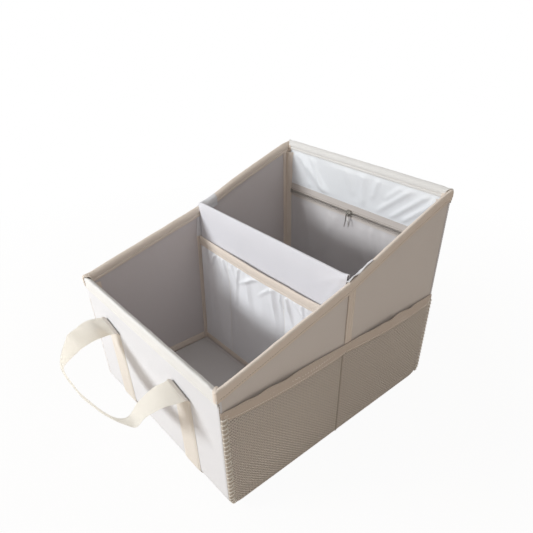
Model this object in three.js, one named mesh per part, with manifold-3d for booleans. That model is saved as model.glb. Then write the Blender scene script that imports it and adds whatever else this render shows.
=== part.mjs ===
import * as THREE from 'three';
import { mergeVertices } from 'three/addons/utils/BufferGeometryUtils.js';
import Module from 'manifold-3d';

// A folding organizer box for a car seat, sewn from cloth over stiff boards.
// Lengths are millimetres. +X is the right side, -Y the low front, +Z up.
// The origin lies on the ground under the middle of the box.

// Driving dimensions: the box
const WIDTH = 300;            // over the outer side cloths
const DEPTH = 365;            // front cloth to back cloth
const FRONT_HEIGHT = 184;     // ground to the top of the front rim
const MID_HEIGHT = 232;       // ground to the side rim at the centre seam
const BACK_HEIGHT = 297;      // ground to the top of the back rim
const CORNER_RADIUS = 18;     // lower edges, where front and back turn into the base

// Driving dimensions: plies and clearances
const CLOTH = 0.9;            // coated outer cloth
const BOARD = 2.4;            // stiffening board inside a wall
const LINING = 0.8;           // inner cloth
const PLY_GAP = 0.2;          // between plies that lie on each other
const SEAM_GAP = 0.3;         // between pieces that meet edge to edge
const FOLD_GAP = 3;           // between the two boards of a side wall

// Driving dimensions: bindings
const TAPE = 1.0;             // binding tape, folded
const RIM_END_LEG = 17;       // outer leg of the rim binding, front and back
const RIM_SIDE_LEG = 12;      // outer leg of the rim binding, sides
const RIM_INNER_LEG = 11;     // inner leg of the rim binding, all round
const RIM_ROLL = 2.2;         // radius of the rolled top edge
const CORNER_TAPE_WALL = 12;  // corner binding, width on the side wall
const CORNER_TAPE_END = 10;   // corner binding, width on the front or back wall
const SEAM_TAPE_WIDTH = 11;   // outside tape over the centre seam

// Driving dimensions: divider and its pocket
const DIVIDER_HEIGHT = 237;
const DIVIDER_FOOT = -7;      // the foot stands this far forward of the middle
const DIVIDER_LEAN = 2.3;     // degrees, backwards
const DIVIDER_TAPE = 7.5;     // bound seam down each end
const TAB_HEIGHT = 13;
const RIGHT_TAB = 34;         // length of the sewn tab behind the divider
const LEFT_TAB = 26;
const POCKET_HEIGHT = 186;
const POCKET_SWELL = 7.5;     // how far the mouth stands off the divider
const POCKET_CLOTH = 0.7;
const POCKET_SEAMS = [-72, 50];
const POCKET_BINDING = 13;
const POCKET_FOOT = 10;

// Driving dimensions: zipped pocket on the back wall
const ZIP_DROP = 75;          // zip line below the back rim
const ZIP_POCKET_DEPTH = 4;   // pocket cloth off the back lining
const ZIP_TAPE = 0.6;
const ZIP_TAPE_UPPER = 13;
const ZIP_TAPE_LOWER = 8;
const ZIP_CLOTH_SETBACK = 5.4;
const TOOTH_PITCH = 4;
const TOOTH_TIP = 0.8;        // tooth tips stop short of the zip line, for the slider's post
const TOOTH_ROOT = 2.0;
const TOOTH_BACK = 3.0;
const TOOTH_THICK = 1.6;
const STOP_LENGTH = 3;
const SLIDER_LENGTH = 9;
const SLIDER_HALF_WIDTH = 4.6;
const SLIDER_PLATE = 0.9;
const SLIDER_PLAY = 0.35;
const SLIDER_AT = -4;         // where the slider stands in the photograph
const LUG_RADIUS = 0.7;
const PULL_WIRE = 1.1;        // wire diameter
const PULL_LENGTH = 22;

// Driving dimensions: mesh pockets
const MESH_FRONT = 157;       // height of the mouth at the front, middle and back
const MESH_MID = 150;
const MESH_BACK = 147;
const MESH_BINDING = 11;
const MESH_CLOTH = 0.8;
const MESH_SWELL = 5.5;       // how far a bay stands off the side
const MESH_FULL_LEVEL = 0.9;  // share of its height where a bay stands off in full
const MESH_HEM = 7;           // unpierced edge
const MESH_STRAND = 3;
const MESH_COLUMNS = 10;      // gaps along one bay
const MESH_ROWS = 7;

// Driving dimensions: webbing, handles and loose boards
const WEBBING = 1.6;
const WEBBING_WIDTH = 34;
const HANDLE_SPACING = 163;   // strap to strap
const HANDLE_OFFSET = -5;     // the pair is sewn a little left of the middle
const FOLD_DROP = 46;         // where a strap leaves the wall, below the rim
const FOLD_BEND = 5;          // radius of the bend there
const LOOP_REACH = 68;        // how far the loop stands out from its fold
const LOOP_DROP = 33;         // how far it droops
const LOOP_LEAN = 0.36;       // outward lean of the loop's standing middle
const BASE_BOARD = 3;
const BASE_BOARD_PLAY = 2.2;  // to the corner bindings
const BASE_BOARD_END_PLAY = 1.5;  // to where the floor starts to turn up
const BASE_BOARD_FRONT_END = -18.5;
const BASE_BOARD_REAR_START = 6;

// Heights and depths that follow from the plies
const BASE = WEBBING + PLY_GAP;
const FLOOR = BASE + CLOTH + PLY_GAP;
const FLOOR_TOP = FLOOR + LINING;
const BOARD_DEPTH = CLOTH + PLY_GAP;
const LINING_DEPTH = BOARD_DEPTH + BOARD + PLY_GAP;
const WALL = LINING_DEPTH + LINING;
const RIM_COVER = TAPE + PLY_GAP;
const INNER_X = WIDTH / 2 - WALL;
const INNER_Y = DEPTH / 2 - WALL;
const TAPE_X = INNER_X - PLY_GAP - TAPE;
const ARC_Y = DEPTH / 2 - CORNER_RADIUS;
const CURVE_STEPS = 6;

const material = (color, roughness, metalness = 0) =>
  new THREE.MeshStandardMaterial({ color, roughness, metalness, flatShading: true });

const outerCloth = () => material(0xd9d7d6, 0.85);
const innerCloth = () => material(0xcfcccb, 0.75);
const bindingTape = () => material(0xe9dcc6, 0.9);
const webbing = () => material(0xeee2cd, 0.9);
const meshCloth = () => material(0xcdbfae, 0.9);
const thinCloth = () => material(0xdfe2e6, 0.5);
const stiffBoard = () => material(0x8f8a86, 0.8);
const zipTapeCloth = () => material(0xd8cfc2, 0.85);
const nylon = () => material(0x8d8880, 0.5);
const steel = () => material(0x8b8a88, 0.35, 0.9);

const box = new THREE.Group();

function place(name, geometry, finish, parent = box) {
  const mesh = new THREE.Mesh(bare(geometry), finish);
  mesh.geometry.computeVertexNormals();
  mesh.name = name;
  parent.add(mesh);
  return mesh;
}

// Only positions, with shared corners merged
function bare(geometry) {
  const copy = geometry.clone();
  copy.deleteAttribute('normal');
  copy.deleteAttribute('uv');
  copy.clearGroups();
  return mergeVertices(copy, 1e-5);
}

// Turns every triangle round, for a shape that a mirror has turned inside out
function mirrored(geometry, x, y) {
  const copy = bare(geometry);
  copy.scale(x, y, 1);
  const index = copy.index;
  for (let i = 0; i < index.count; i += 3) {
    const second = index.getX(i + 1);
    index.setX(i + 1, index.getX(i + 2));
    index.setX(i + 2, second);
  }
  return copy;
}

const leftOf = (geometry) => mirrored(geometry, -1, 1);
const backOf = (geometry) => mirrored(geometry, 1, -1);

// One geometry for the right side and its mirror image for the left
function placePair(name, geometry, finish, parent = box) {
  place(`right_${name}`, geometry, finish(), parent);
  place(`left_${name}`, leftOf(geometry), finish(), parent);
}

function extrude(shape, depth) {
  return new THREE.ExtrudeGeometry(shape, { depth, bevelEnabled: false, curveSegments: CURVE_STEPS });
}

// A shape drawn in Y and Z, given its thickness along X
function alongX(shape, from, to) {
  const basis = new THREE.Matrix4().makeBasis(
    new THREE.Vector3(0, 1, 0), new THREE.Vector3(0, 0, 1), new THREE.Vector3(1, 0, 0));
  return extrude(shape, to - from).applyMatrix4(basis).translate(from, 0, 0);
}

// A shape drawn in X and Z, given its thickness along Y
function alongY(shape, from, to) {
  const basis = new THREE.Matrix4().makeBasis(
    new THREE.Vector3(1, 0, 0), new THREE.Vector3(0, 0, 1), new THREE.Vector3(0, -1, 0));
  return extrude(shape, to - from).applyMatrix4(basis).translate(0, to, 0);
}

function slab(x0, x1, y0, y1, z0, z1) {
  return new THREE.BoxGeometry(x1 - x0, y1 - y0, z1 - z0)
    .translate((x0 + x1) / 2, (y0 + y1) / 2, (z0 + z1) / 2);
}

function polygon(points) {
  return new THREE.Shape(points.map(([a, b]) => new THREE.Vector2(a, b)));
}

const wasm = await Module();
wasm.setup();

function toSolid(geometry) {
  const clean = bare(geometry);
  return new wasm.Manifold(new wasm.Mesh({
    numProp: 3,
    vertProperties: new Float32Array(clean.attributes.position.array),
    triVerts: new Uint32Array(clean.index.array),
  }));
}

function toGeometry(solid) {
  const mesh = solid.getMesh();
  const geometry = new THREE.BufferGeometry();
  geometry.setAttribute('position', new THREE.BufferAttribute(mesh.vertProperties, 3));
  geometry.setIndex(new THREE.BufferAttribute(mesh.triVerts, 1));
  return geometry;
}

const joined = (first, ...rest) =>
  toGeometry(rest.reduce((solid, geometry) => solid.add(toSolid(geometry)), toSolid(first)));
const cut = (first, ...rest) =>
  toGeometry(rest.reduce((solid, geometry) => solid.subtract(toSolid(geometry)), toSolid(first)));

const endHeight = (end) => (end < 0 ? FRONT_HEIGHT : BACK_HEIGHT);

// Height of the rim over a point along the box
function rimAt(y) {
  return MID_HEIGHT + (endHeight(y) - MID_HEIGHT) * Math.abs(y) / (DEPTH / 2);
}

// The same, but kept down to the front or back rim where a side wall reaches it
const cornerRim = (y) => Math.min(rimAt(y), endHeight(y));

// One half of a side wall. end is -1 for the front half and 1 for the rear half. Its top keeps
// below the binding of the side rim and, at the corner, below that of the front or back rim.
function sideHalf(end, inset, bottomInset, drop, seam) {
  const y = end * (DEPTH / 2 - inset);
  const bottom = BASE + bottomInset;
  const radius = CORNER_RADIUS - inset;
  const shape = new THREE.Shape();
  shape.moveTo(end * seam, bottom);
  shape.lineTo(end * ARC_Y, bottom);
  shape.absarc(end * ARC_Y, bottom + radius, radius, -Math.PI / 2, end > 0 ? 0 : -Math.PI, end < 0);
  for (const under of [y, end * INNER_Y]) shape.lineTo(under, cornerRim(under) - drop);
  shape.lineTo(end * seam, rimAt(end * seam) - drop);
  return shape;
}

// A front or back ply that turns under at its foot, round the rounded lower edge
function endStrip(end, inset, bottomInset, thickness, top) {
  const y = end * (DEPTH / 2 - inset);
  const radius = CORNER_RADIUS - inset;
  const centre = BASE + bottomInset + radius;
  const start = end > 0 ? 0 : -Math.PI;
  const shape = new THREE.Shape();
  shape.moveTo(y, top);
  shape.lineTo(y, centre);
  shape.absarc(end * ARC_Y, centre, radius, start, -Math.PI / 2, end > 0);
  shape.absarc(end * ARC_Y, centre, radius - thickness, -Math.PI / 2, start, end < 0);
  shape.lineTo(y - end * thickness, top);
  return shape;
}

// Side walls: outer cloth, board and lining, each in two halves that meet at the centre seam
for (const [half, end] of [['front', -1], ['rear', 1]]) {
  const outer = sideHalf(end, 0, 0, RIM_COVER, SEAM_GAP / 2);
  placePair(`${half}_cloth`, alongX(outer, WIDTH / 2 - CLOTH, WIDTH / 2), outerCloth);

  const boardInset = CLOTH + SEAM_GAP;
  const stiffener = sideHalf(end, boardInset, boardInset, RIM_COVER, FOLD_GAP / 2);
  const boardFace = WIDTH / 2 - BOARD_DEPTH;
  placePair(`${half}_board`, alongX(stiffener, boardFace - BOARD, boardFace), stiffBoard);

  const liningInset = LINING_DEPTH - PLY_GAP + SEAM_GAP;
  const inner = sideHalf(end, liningInset, boardInset, RIM_COVER, SEAM_GAP / 2);
  placePair(`${half}_lining`, alongX(inner, INNER_X, INNER_X + LINING), innerCloth);
}

// Front and back walls, between the side walls
const clothX = WIDTH / 2 - CLOTH - SEAM_GAP;
const boardX = WIDTH / 2 - BOARD_DEPTH - BOARD - SEAM_GAP;
const liningX = INNER_X - SEAM_GAP;
for (const [half, end, height] of [['front', -1, FRONT_HEIGHT], ['back', 1, BACK_HEIGHT]]) {
  const top = height - RIM_COVER;
  place(`${half}_cloth`, alongX(endStrip(end, 0, 0, CLOTH, top), -clothX, clothX), outerCloth());

  const boardOuter = end * (DEPTH / 2 - BOARD_DEPTH);
  const boardInner = boardOuter - end * BOARD;
  const boardFoot = BASE + CORNER_RADIUS;
  place(`${half}_board`, slab(-boardX, boardX, Math.min(boardOuter, boardInner),
    Math.max(boardOuter, boardInner), boardFoot, top), stiffBoard());

  const lining = endStrip(end, LINING_DEPTH, BOARD_DEPTH, LINING, top);
  place(`${half}_lining`, alongX(lining, -liningX, liningX), innerCloth());
}

// Base and floor run flat between the two rounded edges
const flatY = ARC_Y - SEAM_GAP;
place('base_cloth', slab(-clothX, clothX, -flatY, flatY, BASE, BASE + CLOTH), outerCloth());
place('floor_lining', slab(-liningX, liningX, -flatY, flatY, FLOOR, FLOOR_TOP), innerCloth());

// Tape over the centre seam, outside, from the rim binding down to the mesh pocket
const seamTapeFoot = meshTopAt(SEAM_TAPE_WIDTH) + SEAM_GAP;
const seamTape = polygon([
  [0, seamTapeFoot],
  [SEAM_TAPE_WIDTH, seamTapeFoot],
  [SEAM_TAPE_WIDTH, rimAt(SEAM_TAPE_WIDTH) - RIM_SIDE_LEG - SEAM_GAP],
  [0, rimAt(0) - RIM_SIDE_LEG - SEAM_GAP],
]);
placePair('seam_tape',
  alongX(seamTape, WIDTH / 2 + PLY_GAP, WIDTH / 2 + PLY_GAP + TAPE), bindingTape);

// A closed outline carried through stations, each of which puts its points in space
function loft(outline, stations) {
  const positions = stations.flatMap((station) => outline.flatMap((point) => station(point)));
  const count = outline.length;
  const index = [];
  for (let s = 0; s + 1 < stations.length; s += 1) {
    for (let i = 0; i < count; i += 1) {
      const a = s * count + i;
      const b = s * count + (i + 1) % count;
      index.push(a, b + count, b, a, a + count, b + count);
    }
  }
  const last = (stations.length - 1) * count;
  for (const [a, b, c] of THREE.ShapeUtils.triangulateShape(outline, [])) {
    index.push(a, b, c, last + a, last + c, last + b);
  }
  const geometry = new THREE.BufferGeometry();
  geometry.setAttribute('position', new THREE.Float32BufferAttribute(positions, 3));
  geometry.setIndex(index);
  return geometry;
}

// Section of the rim binding over a wall. x runs outwards from the wall's outer face, y is
// height from the rim. The tape is folded over the wall with a rolled top edge.
function rimSection(outerLeg) {
  const outside = RIM_COVER;
  const inside = -WALL - RIM_COVER;
  const points = [new THREE.Vector2(outside, -outerLeg)];
  for (const [centre, from] of [[outside - RIM_ROLL, 0], [inside + RIM_ROLL, Math.PI / 2]]) {
    for (let step = 0; step <= 3; step += 1) {
      const angle = from + step * Math.PI / 6;
      points.push(new THREE.Vector2(
        centre + RIM_ROLL * Math.cos(angle), RIM_ROLL * (Math.sin(angle) - 1)));
    }
  }
  points.push(
    new THREE.Vector2(inside, -RIM_INNER_LEG),
    new THREE.Vector2(inside + TAPE, -RIM_INNER_LEG),
    new THREE.Vector2(inside + TAPE, -TAPE),
    new THREE.Vector2(outside - TAPE, -TAPE),
    new THREE.Vector2(outside - TAPE, -outerLeg),
  );
  return points;
}

// Rim binding, mitred at the four corners
const endRim = (end, height) => [-1, 1].map((side) => (p) => [
  side * (WIDTH / 2 + p.x - SEAM_GAP), end * (DEPTH / 2 + p.x), height + p.y]);
place('front_rim_binding',
  loft(rimSection(RIM_END_LEG), endRim(-1, FRONT_HEIGHT)), bindingTape());
place('back_rim_binding',
  loft(rimSection(RIM_END_LEG), endRim(1, BACK_HEIGHT).reverse()), bindingTape());

const sideRimStation = (end) => (p) => {
  const y = end * (DEPTH / 2 + p.x);
  return [WIDTH / 2 + p.x, y, rimAt(y) + p.y];
};
const sideRim = [sideRimStation(-1), sideRimStation(0), sideRimStation(1)];
placePair('rim_binding', loft(rimSection(RIM_SIDE_LEG), sideRim), bindingTape);

// Corner bindings: tape up a corner seam and on along the floor seam, with a leg on each wall
const tapeRadius = CORNER_RADIUS - WALL - SEAM_GAP;
const tapeCentre = FLOOR + CORNER_RADIUS - LINING_DEPTH;
const legTop = (y) => cornerRim(y) - RIM_INNER_LEG - SEAM_GAP;
const zipFront = INNER_Y - ZIP_POCKET_DEPTH;

function cornerTape(end, runEnd, endLegFace) {
  const outerY = end * (ARC_Y + tapeRadius);
  const rimLegY = outerY - end * (TAPE + SEAM_GAP);
  const innerY = outerY - end * CORNER_TAPE_WALL;
  const start = end > 0 ? 0 : -Math.PI;
  const wallLeg = new THREE.Shape();
  wallLeg.moveTo(outerY, legTop(outerY));
  wallLeg.lineTo(outerY, tapeCentre);
  wallLeg.absarc(end * ARC_Y, tapeCentre, tapeRadius, start, -Math.PI / 2, end > 0);
  wallLeg.lineTo(runEnd, tapeCentre - tapeRadius);
  wallLeg.lineTo(runEnd, tapeCentre - tapeRadius + CORNER_TAPE_WALL);
  wallLeg.lineTo(innerY, tapeCentre - tapeRadius + CORNER_TAPE_WALL);
  wallLeg.lineTo(innerY, rimAt(innerY) - RIM_INNER_LEG - SEAM_GAP);
  wallLeg.lineTo(rimLegY, legTop(rimLegY));
  const faces = [endLegFace, endLegFace - end * TAPE].sort((a, b) => a - b);
  const endLeg = slab(TAPE_X - CORNER_TAPE_END, TAPE_X + TAPE / 2, faces[0], faces[1],
    tapeCentre + SEAM_GAP, legTop(endLegFace - end * TAPE));
  return joined(alongX(wallLeg, TAPE_X, TAPE_X + TAPE), endLeg);
}

const dividerHalf = BOARD / 2 + PLY_GAP + CLOTH;
const frontRunEnd = DIVIDER_FOOT - dividerHalf - DIVIDER_TAPE - 3 * SEAM_GAP;
const rearRunStart = DIVIDER_FOOT + dividerHalf + 4 * SEAM_GAP;
placePair('front_corner_binding',
  cornerTape(-1, frontRunEnd, -(INNER_Y - PLY_GAP)), bindingTape);
placePair('rear_corner_binding',
  cornerTape(1, rearRunStart, zipFront - LINING - PLY_GAP), bindingTape);

// A thin panel that leaves its plane. Columns and rows are lists from 0 to 1, at(u, v, face)
// gives a point on its back (0) or front (1), and pierced(i, j) leaves a cell open.
function thinPanel(columns, rows, at, pierced = () => false) {
  const across = columns.length;
  const up = rows.length;
  const positions = [];
  for (const face of [0, 1]) {
    for (const v of rows) {
      for (const u of columns) positions.push(...at(u, v, face));
    }
  }
  const corner = (i, j, face) => face * across * up + j * across + i;
  const filled = (i, j) => i >= 0 && j >= 0 && i < across - 1 && j < up - 1 && !pierced(i, j);
  const index = [];
  const quad = (a, b, c, d) => index.push(a, b, c, a, c, d);
  const wall = (i0, j0, i1, j1) =>
    quad(corner(i0, j0, 0), corner(i1, j1, 0), corner(i1, j1, 1), corner(i0, j0, 1));
  for (let j = 0; j < up - 1; j += 1) {
    for (let i = 0; i < across - 1; i += 1) {
      if (!filled(i, j)) continue;
      quad(corner(i, j, 1), corner(i + 1, j, 1), corner(i + 1, j + 1, 1), corner(i, j + 1, 1));
      quad(corner(i, j, 0), corner(i, j + 1, 0), corner(i + 1, j + 1, 0), corner(i + 1, j, 0));
      if (!filled(i, j - 1)) wall(i, j, i + 1, j);
      if (!filled(i + 1, j)) wall(i + 1, j, i + 1, j + 1);
      if (!filled(i, j + 1)) wall(i + 1, j + 1, i, j + 1);
      if (!filled(i - 1, j)) wall(i, j + 1, i, j);
    }
  }
  const geometry = new THREE.BufferGeometry();
  geometry.setAttribute('position', new THREE.Float32BufferAttribute(positions, 3));
  geometry.setIndex(index);
  return geometry;
}

const evenly = (count) => Array.from({ length: count + 1 }, (_, i) => i / count);

// Rises from 0 at a share of 0 to 1 at the middle and falls back to 0 at a share of 1
const arch = (share) => Math.sin(Math.PI * THREE.MathUtils.clamp(share, 0, 1));

// Mesh pockets: one mesh panel along each side, in two bays that swell towards their mouths
function meshTopAt(y) {
  const end = y < 0 ? MESH_FRONT : MESH_BACK;
  return MESH_MID + (end - MESH_MID) * Math.abs(y) / (DEPTH / 2);
}

const meshHalf = DEPTH / 2 - TAPE;
function meshFoot(y) {
  const into = Math.max(0, Math.abs(y) - (meshHalf - CORNER_RADIUS));
  return BASE + TAPE + CORNER_RADIUS - Math.sqrt(CORNER_RADIUS ** 2 - into ** 2);
}

// Full from just under the binding up, none at the foot
function meshSwell(y, z) {
  const level = (z - meshFoot(y)) / (meshTopAt(y) - meshFoot(y));
  const rise = THREE.MathUtils.clamp(level / MESH_FULL_LEVEL, 0, 1);
  return MESH_SWELL * arch(Math.abs(y) / meshHalf) ** 0.7 * rise ** 0.6;
}

// Panel between two heights, its back and front this far off the side cloth
function meshPanel(columns, rows, foot, top, back, front, pierced) {
  return thinPanel(columns, rows, (u, v, face) => {
    const y = (2 * u - 1) * meshHalf;
    const z = foot(y) + v * (top(y) - foot(y));
    return [WIDTH / 2 + PLY_GAP + meshSwell(y, z) + (face ? front : back), y, z];
  }, pierced);
}

// Strand and gap edges along a run, as shares of its length
function netEdges(length, hem, gaps) {
  const pitch = (length - 2 * hem + MESH_STRAND) / gaps;
  const edges = [];
  for (let i = 0; i < gaps; i += 1) {
    edges.push((hem + i * pitch) / length, (hem + (i + 1) * pitch - MESH_STRAND) / length);
  }
  return edges;
}

const netHeight = MESH_MID - RIM_COVER - BASE;
const bay = netEdges(meshHalf, MESH_HEM, MESH_COLUMNS);
const netColumns = [0, ...bay.map((u) => u / 2), 0.5, ...bay.map((u) => (1 + u) / 2), 1];
const netRows = [0, ...netEdges(netHeight, MESH_HEM + MESH_BINDING / 2, MESH_ROWS), 1];
const bayCells = 2 * MESH_COLUMNS + 1;
const isGap = (i, j) => i % bayCells % 2 === 1 && j % 2 === 1;
const meshEdge = (y) => meshTopAt(y) - RIM_COVER;
placePair('mesh_pocket',
  meshPanel(netColumns, netRows, meshFoot, meshEdge, TAPE + PLY_GAP,
    TAPE + PLY_GAP + MESH_CLOTH, isGap), meshCloth);

const mouthFoot = (y) => meshTopAt(y) - MESH_BINDING;
const mouthThickness = 2 * (TAPE + PLY_GAP) + MESH_CLOTH;
placePair('mesh_binding', cut(
  meshPanel(netColumns, [0, 1], mouthFoot, meshTopAt, 0, mouthThickness),
  meshPanel(netColumns, [0, 1], (y) => mouthFoot(y) - TAPE, (y) => meshTopAt(y) - TAPE,
    TAPE, TAPE + MESH_CLOTH + 2 * PLY_GAP),
), bindingTape);

// Divider: a board in folded cloth, leaning back a little, with its foot on the floor lining.
// In its group y is measured from its middle plane and z from its foot.
const divider = new THREE.Group();
divider.position.set(0, DIVIDER_FOOT, FLOOR_TOP + 2 * SEAM_GAP);
divider.rotation.x = -THREE.MathUtils.degToRad(DIVIDER_LEAN);
box.add(divider);

const dividerX = TAPE_X - SEAM_GAP;
const coverTop = DIVIDER_HEIGHT - dividerHalf;
const cover = new THREE.Shape();
cover.moveTo(dividerHalf, 0);
cover.lineTo(dividerHalf, coverTop);
cover.absarc(0, coverTop, dividerHalf, 0, Math.PI, false);
cover.lineTo(-dividerHalf, 0);
cover.lineTo(CLOTH - dividerHalf, 0);
cover.lineTo(CLOTH - dividerHalf, coverTop);
cover.lineTo(dividerHalf - CLOTH, coverTop);
cover.lineTo(dividerHalf - CLOTH, 0);
place('divider_cover', alongX(cover, -dividerX, dividerX), outerCloth(), divider);
place('divider_board',
  slab(SEAM_GAP - dividerX, dividerX - SEAM_GAP, -BOARD / 2, BOARD / 2, 0, coverTop - PLY_GAP),
  stiffBoard(), divider);

// The bound seam that runs down each end of the divider's front
const endTapeFront = -dividerHalf - SEAM_GAP - DIVIDER_TAPE;
placePair('divider_end_binding', slab(TAPE_X, TAPE_X + TAPE,
  endTapeFront, -dividerHalf - SEAM_GAP, 0, POCKET_HEIGHT), bindingTape, divider);

// Tabs: the ends of the divider's cloth, sewn down along the inside of the side rims
const tabStart = DIVIDER_FOOT + dividerHalf + SEAM_GAP
  + MID_HEIGHT * Math.tan(THREE.MathUtils.degToRad(DIVIDER_LEAN));
function tab(length) {
  const ends = [tabStart, tabStart + length];
  const top = ends.map((y) => [y, rimAt(y) + TAPE]);
  const foot = ends.map((y) => [y, rimAt(y) + TAPE - TAB_HEIGHT]).reverse();
  return alongX(polygon([...top, ...foot]), TAPE_X - PLY_GAP - TAPE, TAPE_X - PLY_GAP);
}
place('right_divider_tab', tab(RIGHT_TAB), outerCloth());
place('left_divider_tab', leftOf(tab(LEFT_TAB)), outerCloth());

// Divider pocket: thin cloth gathered under its binding, swelling in three bays
const pocketX = dividerX - SEAM_GAP;
const pocketStops = [-pocketX, ...POCKET_SEAMS, pocketX];
const BAY_STEPS = 10;
const pocketColumns = [0];
for (let b = 0; b + 1 < pocketStops.length; b += 1) {
  for (let step = 1; step <= BAY_STEPS; step += 1) {
    const x = pocketStops[b] + (pocketStops[b + 1] - pocketStops[b]) * step / BAY_STEPS;
    pocketColumns.push((x + pocketX) / (2 * pocketX));
  }
}
function pocketSwell(x, z) {
  const b = Math.max(0, pocketStops.findIndex((stop) => x <= stop + SEAM_GAP / 2) - 1);
  const share = (x - pocketStops[b]) / (pocketStops[b + 1] - pocketStops[b]);
  const rise = Math.max(0, (z - POCKET_FOOT - FOLD_GAP) / (POCKET_HEIGHT - POCKET_FOOT - FOLD_GAP));
  const gather = 1 + 0.1 * Math.cos(6 * Math.PI * share);
  return POCKET_SWELL * Math.max(0, arch(share)) ** 0.8 * gather * rise ** 0.6;
}
function pocketPanel(rows, foot, top, back, front) {
  return thinPanel(pocketColumns, rows, (u, v, face) => {
    const x = (2 * u - 1) * pocketX;
    const z = foot + v * (top - foot);
    const off = dividerHalf + PLY_GAP + pocketSwell(x, z);
    return [x, -off - (face ? front : back), z];
  });
}
const pocketFace = TAPE + PLY_GAP;
const bodyStart = (POCKET_FOOT + SEAM_GAP) / (POCKET_HEIGHT - RIM_COVER);
const pocketRows = [0, ...evenly(6).map((v) => bodyStart + v * (1 - bodyStart))];
place('divider_pocket', pocketPanel(pocketRows, SEAM_GAP, POCKET_HEIGHT - RIM_COVER,
  pocketFace, pocketFace + POCKET_CLOTH), thinCloth(), divider);
place('divider_pocket_binding', cut(
  pocketPanel([0, 1], POCKET_HEIGHT - POCKET_BINDING, POCKET_HEIGHT, 0,
    2 * pocketFace + POCKET_CLOTH),
  pocketPanel([0, 1], POCKET_HEIGHT - POCKET_BINDING - TAPE, POCKET_HEIGHT - TAPE,
    TAPE, TAPE + POCKET_CLOTH + 2 * PLY_GAP),
), bindingTape(), divider);
const footFace = -dividerHalf - 2 * PLY_GAP - pocketFace - POCKET_CLOTH;
place('divider_foot_binding', slab(-pocketX, pocketX, footFace - TAPE, footFace,
  SEAM_GAP, POCKET_FOOT), bindingTape(), divider);

// Zipped pocket: cloth above and below the zip, standing off the back lining
const zipZ = BACK_HEIGHT - ZIP_DROP;
const zipX = TAPE_X - SEAM_GAP;
const zipHalf = TAPE_X - CORNER_TAPE_END - SEAM_GAP;
const clothBack = zipFront;
const clothFront = clothBack - LINING;
const upperEdge = BACK_HEIGHT - RIM_INNER_LEG - SEAM_GAP;
const upperSeat = INNER_Y - PLY_GAP;
place('zip_pocket_upper', alongX(polygon([
  [clothFront, zipZ + ZIP_CLOTH_SETBACK],
  [clothBack, zipZ + ZIP_CLOTH_SETBACK],
  [clothBack, zipZ + ZIP_TAPE_UPPER],
  [upperSeat, upperEdge],
  [upperSeat - LINING, upperEdge],
  [clothFront, zipZ + ZIP_TAPE_UPPER],
]), -zipX, zipX), thinCloth());
const pocketToe = tapeCentre + SEAM_GAP;
const pocketTurn = pocketToe + CORNER_RADIUS;
place('zip_pocket_lower', alongX(polygon([
  [upperSeat - LINING, pocketToe],
  [upperSeat, pocketToe],
  [clothBack, pocketTurn],
  [clothBack, zipZ - ZIP_CLOTH_SETBACK],
  [clothFront, zipZ - ZIP_CLOTH_SETBACK],
  [clothFront, pocketTurn],
]), -zipX, zipX), thinCloth());

// Zip tapes in front of the cloth, teeth in front of the tapes
const tapeBack = clothFront - PLY_GAP;
const tapeFront = tapeBack - ZIP_TAPE;
place('zip_upper_tape', slab(-zipHalf, zipHalf, tapeFront, tapeBack,
  zipZ + TOOTH_TIP, zipZ + ZIP_TAPE_UPPER), zipTapeCloth());
place('zip_lower_tape', slab(-zipHalf, zipHalf, tapeFront, tapeBack,
  zipZ - ZIP_TAPE_LOWER, zipZ - TOOTH_TIP), zipTapeCloth());

const teethBack = tapeFront - PLY_GAP;
const teethFront = teethBack - TOOTH_THICK;
const teethHalf = zipHalf - STOP_LENGTH - SEAM_GAP;
function teeth(side) {
  const count = Math.floor(2 * teethHalf / TOOTH_PITCH);
  const start = -count * TOOTH_PITCH / 2;
  const shift = side > 0 ? 0 : TOOTH_PITCH / 2;
  const points = [[start, zipZ + side * TOOTH_BACK], [start, zipZ + side * TOOTH_ROOT]];
  for (let i = 0; i < count - 1; i += 1) {
    const x = start + i * TOOTH_PITCH + shift + TOOTH_PITCH / 4;
    points.push([x, zipZ + side * TOOTH_ROOT]);
    points.push([x + TOOTH_PITCH / 8, zipZ + side * TOOTH_TIP]);
    points.push([x + TOOTH_PITCH * 3 / 8, zipZ + side * TOOTH_TIP]);
    points.push([x + TOOTH_PITCH / 2, zipZ + side * TOOTH_ROOT]);
  }
  points.push([-start, zipZ + side * TOOTH_ROOT], [-start, zipZ + side * TOOTH_BACK]);
  return alongY(polygon(points), teethFront, teethBack);
}
place('zip_upper_teeth', teeth(1), nylon());
place('zip_lower_teeth', teeth(-1), nylon());

for (const [name, from] of [['left', -zipHalf], ['right', zipHalf - STOP_LENGTH]]) {
  place(`zip_${name}_stop`, slab(from, from + STOP_LENGTH, teethFront, teethBack,
    zipZ - TOOTH_BACK, zipZ + TOOTH_BACK), steel());
}

// Slider: front and back plates joined by a post that runs between the tooth tips, with rims
// that hold the teeth in, and a lug for the pull
const plateBack = teethFront - SLIDER_PLAY;
const plateFront = plateBack - SLIDER_PLATE;
const backPlateFront = tapeBack + SLIDER_PLAY;
const rimInner = TOOTH_BACK + SLIDER_PLAY;
const postHalf = TOOTH_TIP - SLIDER_PLAY;
const sliderHalf = SLIDER_LENGTH / 2;
function sliderPlate(from, to) {
  const nose = sliderHalf * 0.45;
  const outline = polygon([
    [-sliderHalf, -rimInner], [-nose, -SLIDER_HALF_WIDTH], [nose, -SLIDER_HALF_WIDTH],
    [sliderHalf, -rimInner], [sliderHalf, rimInner], [nose, SLIDER_HALF_WIDTH],
    [-nose, SLIDER_HALF_WIDTH], [-sliderHalf, rimInner],
  ]);
  return alongY(outline, from, to);
}
const lugOut = LUG_RADIUS + PULL_WIRE + 2 * SLIDER_PLAY;
const lugY = plateFront - lugOut;
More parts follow.
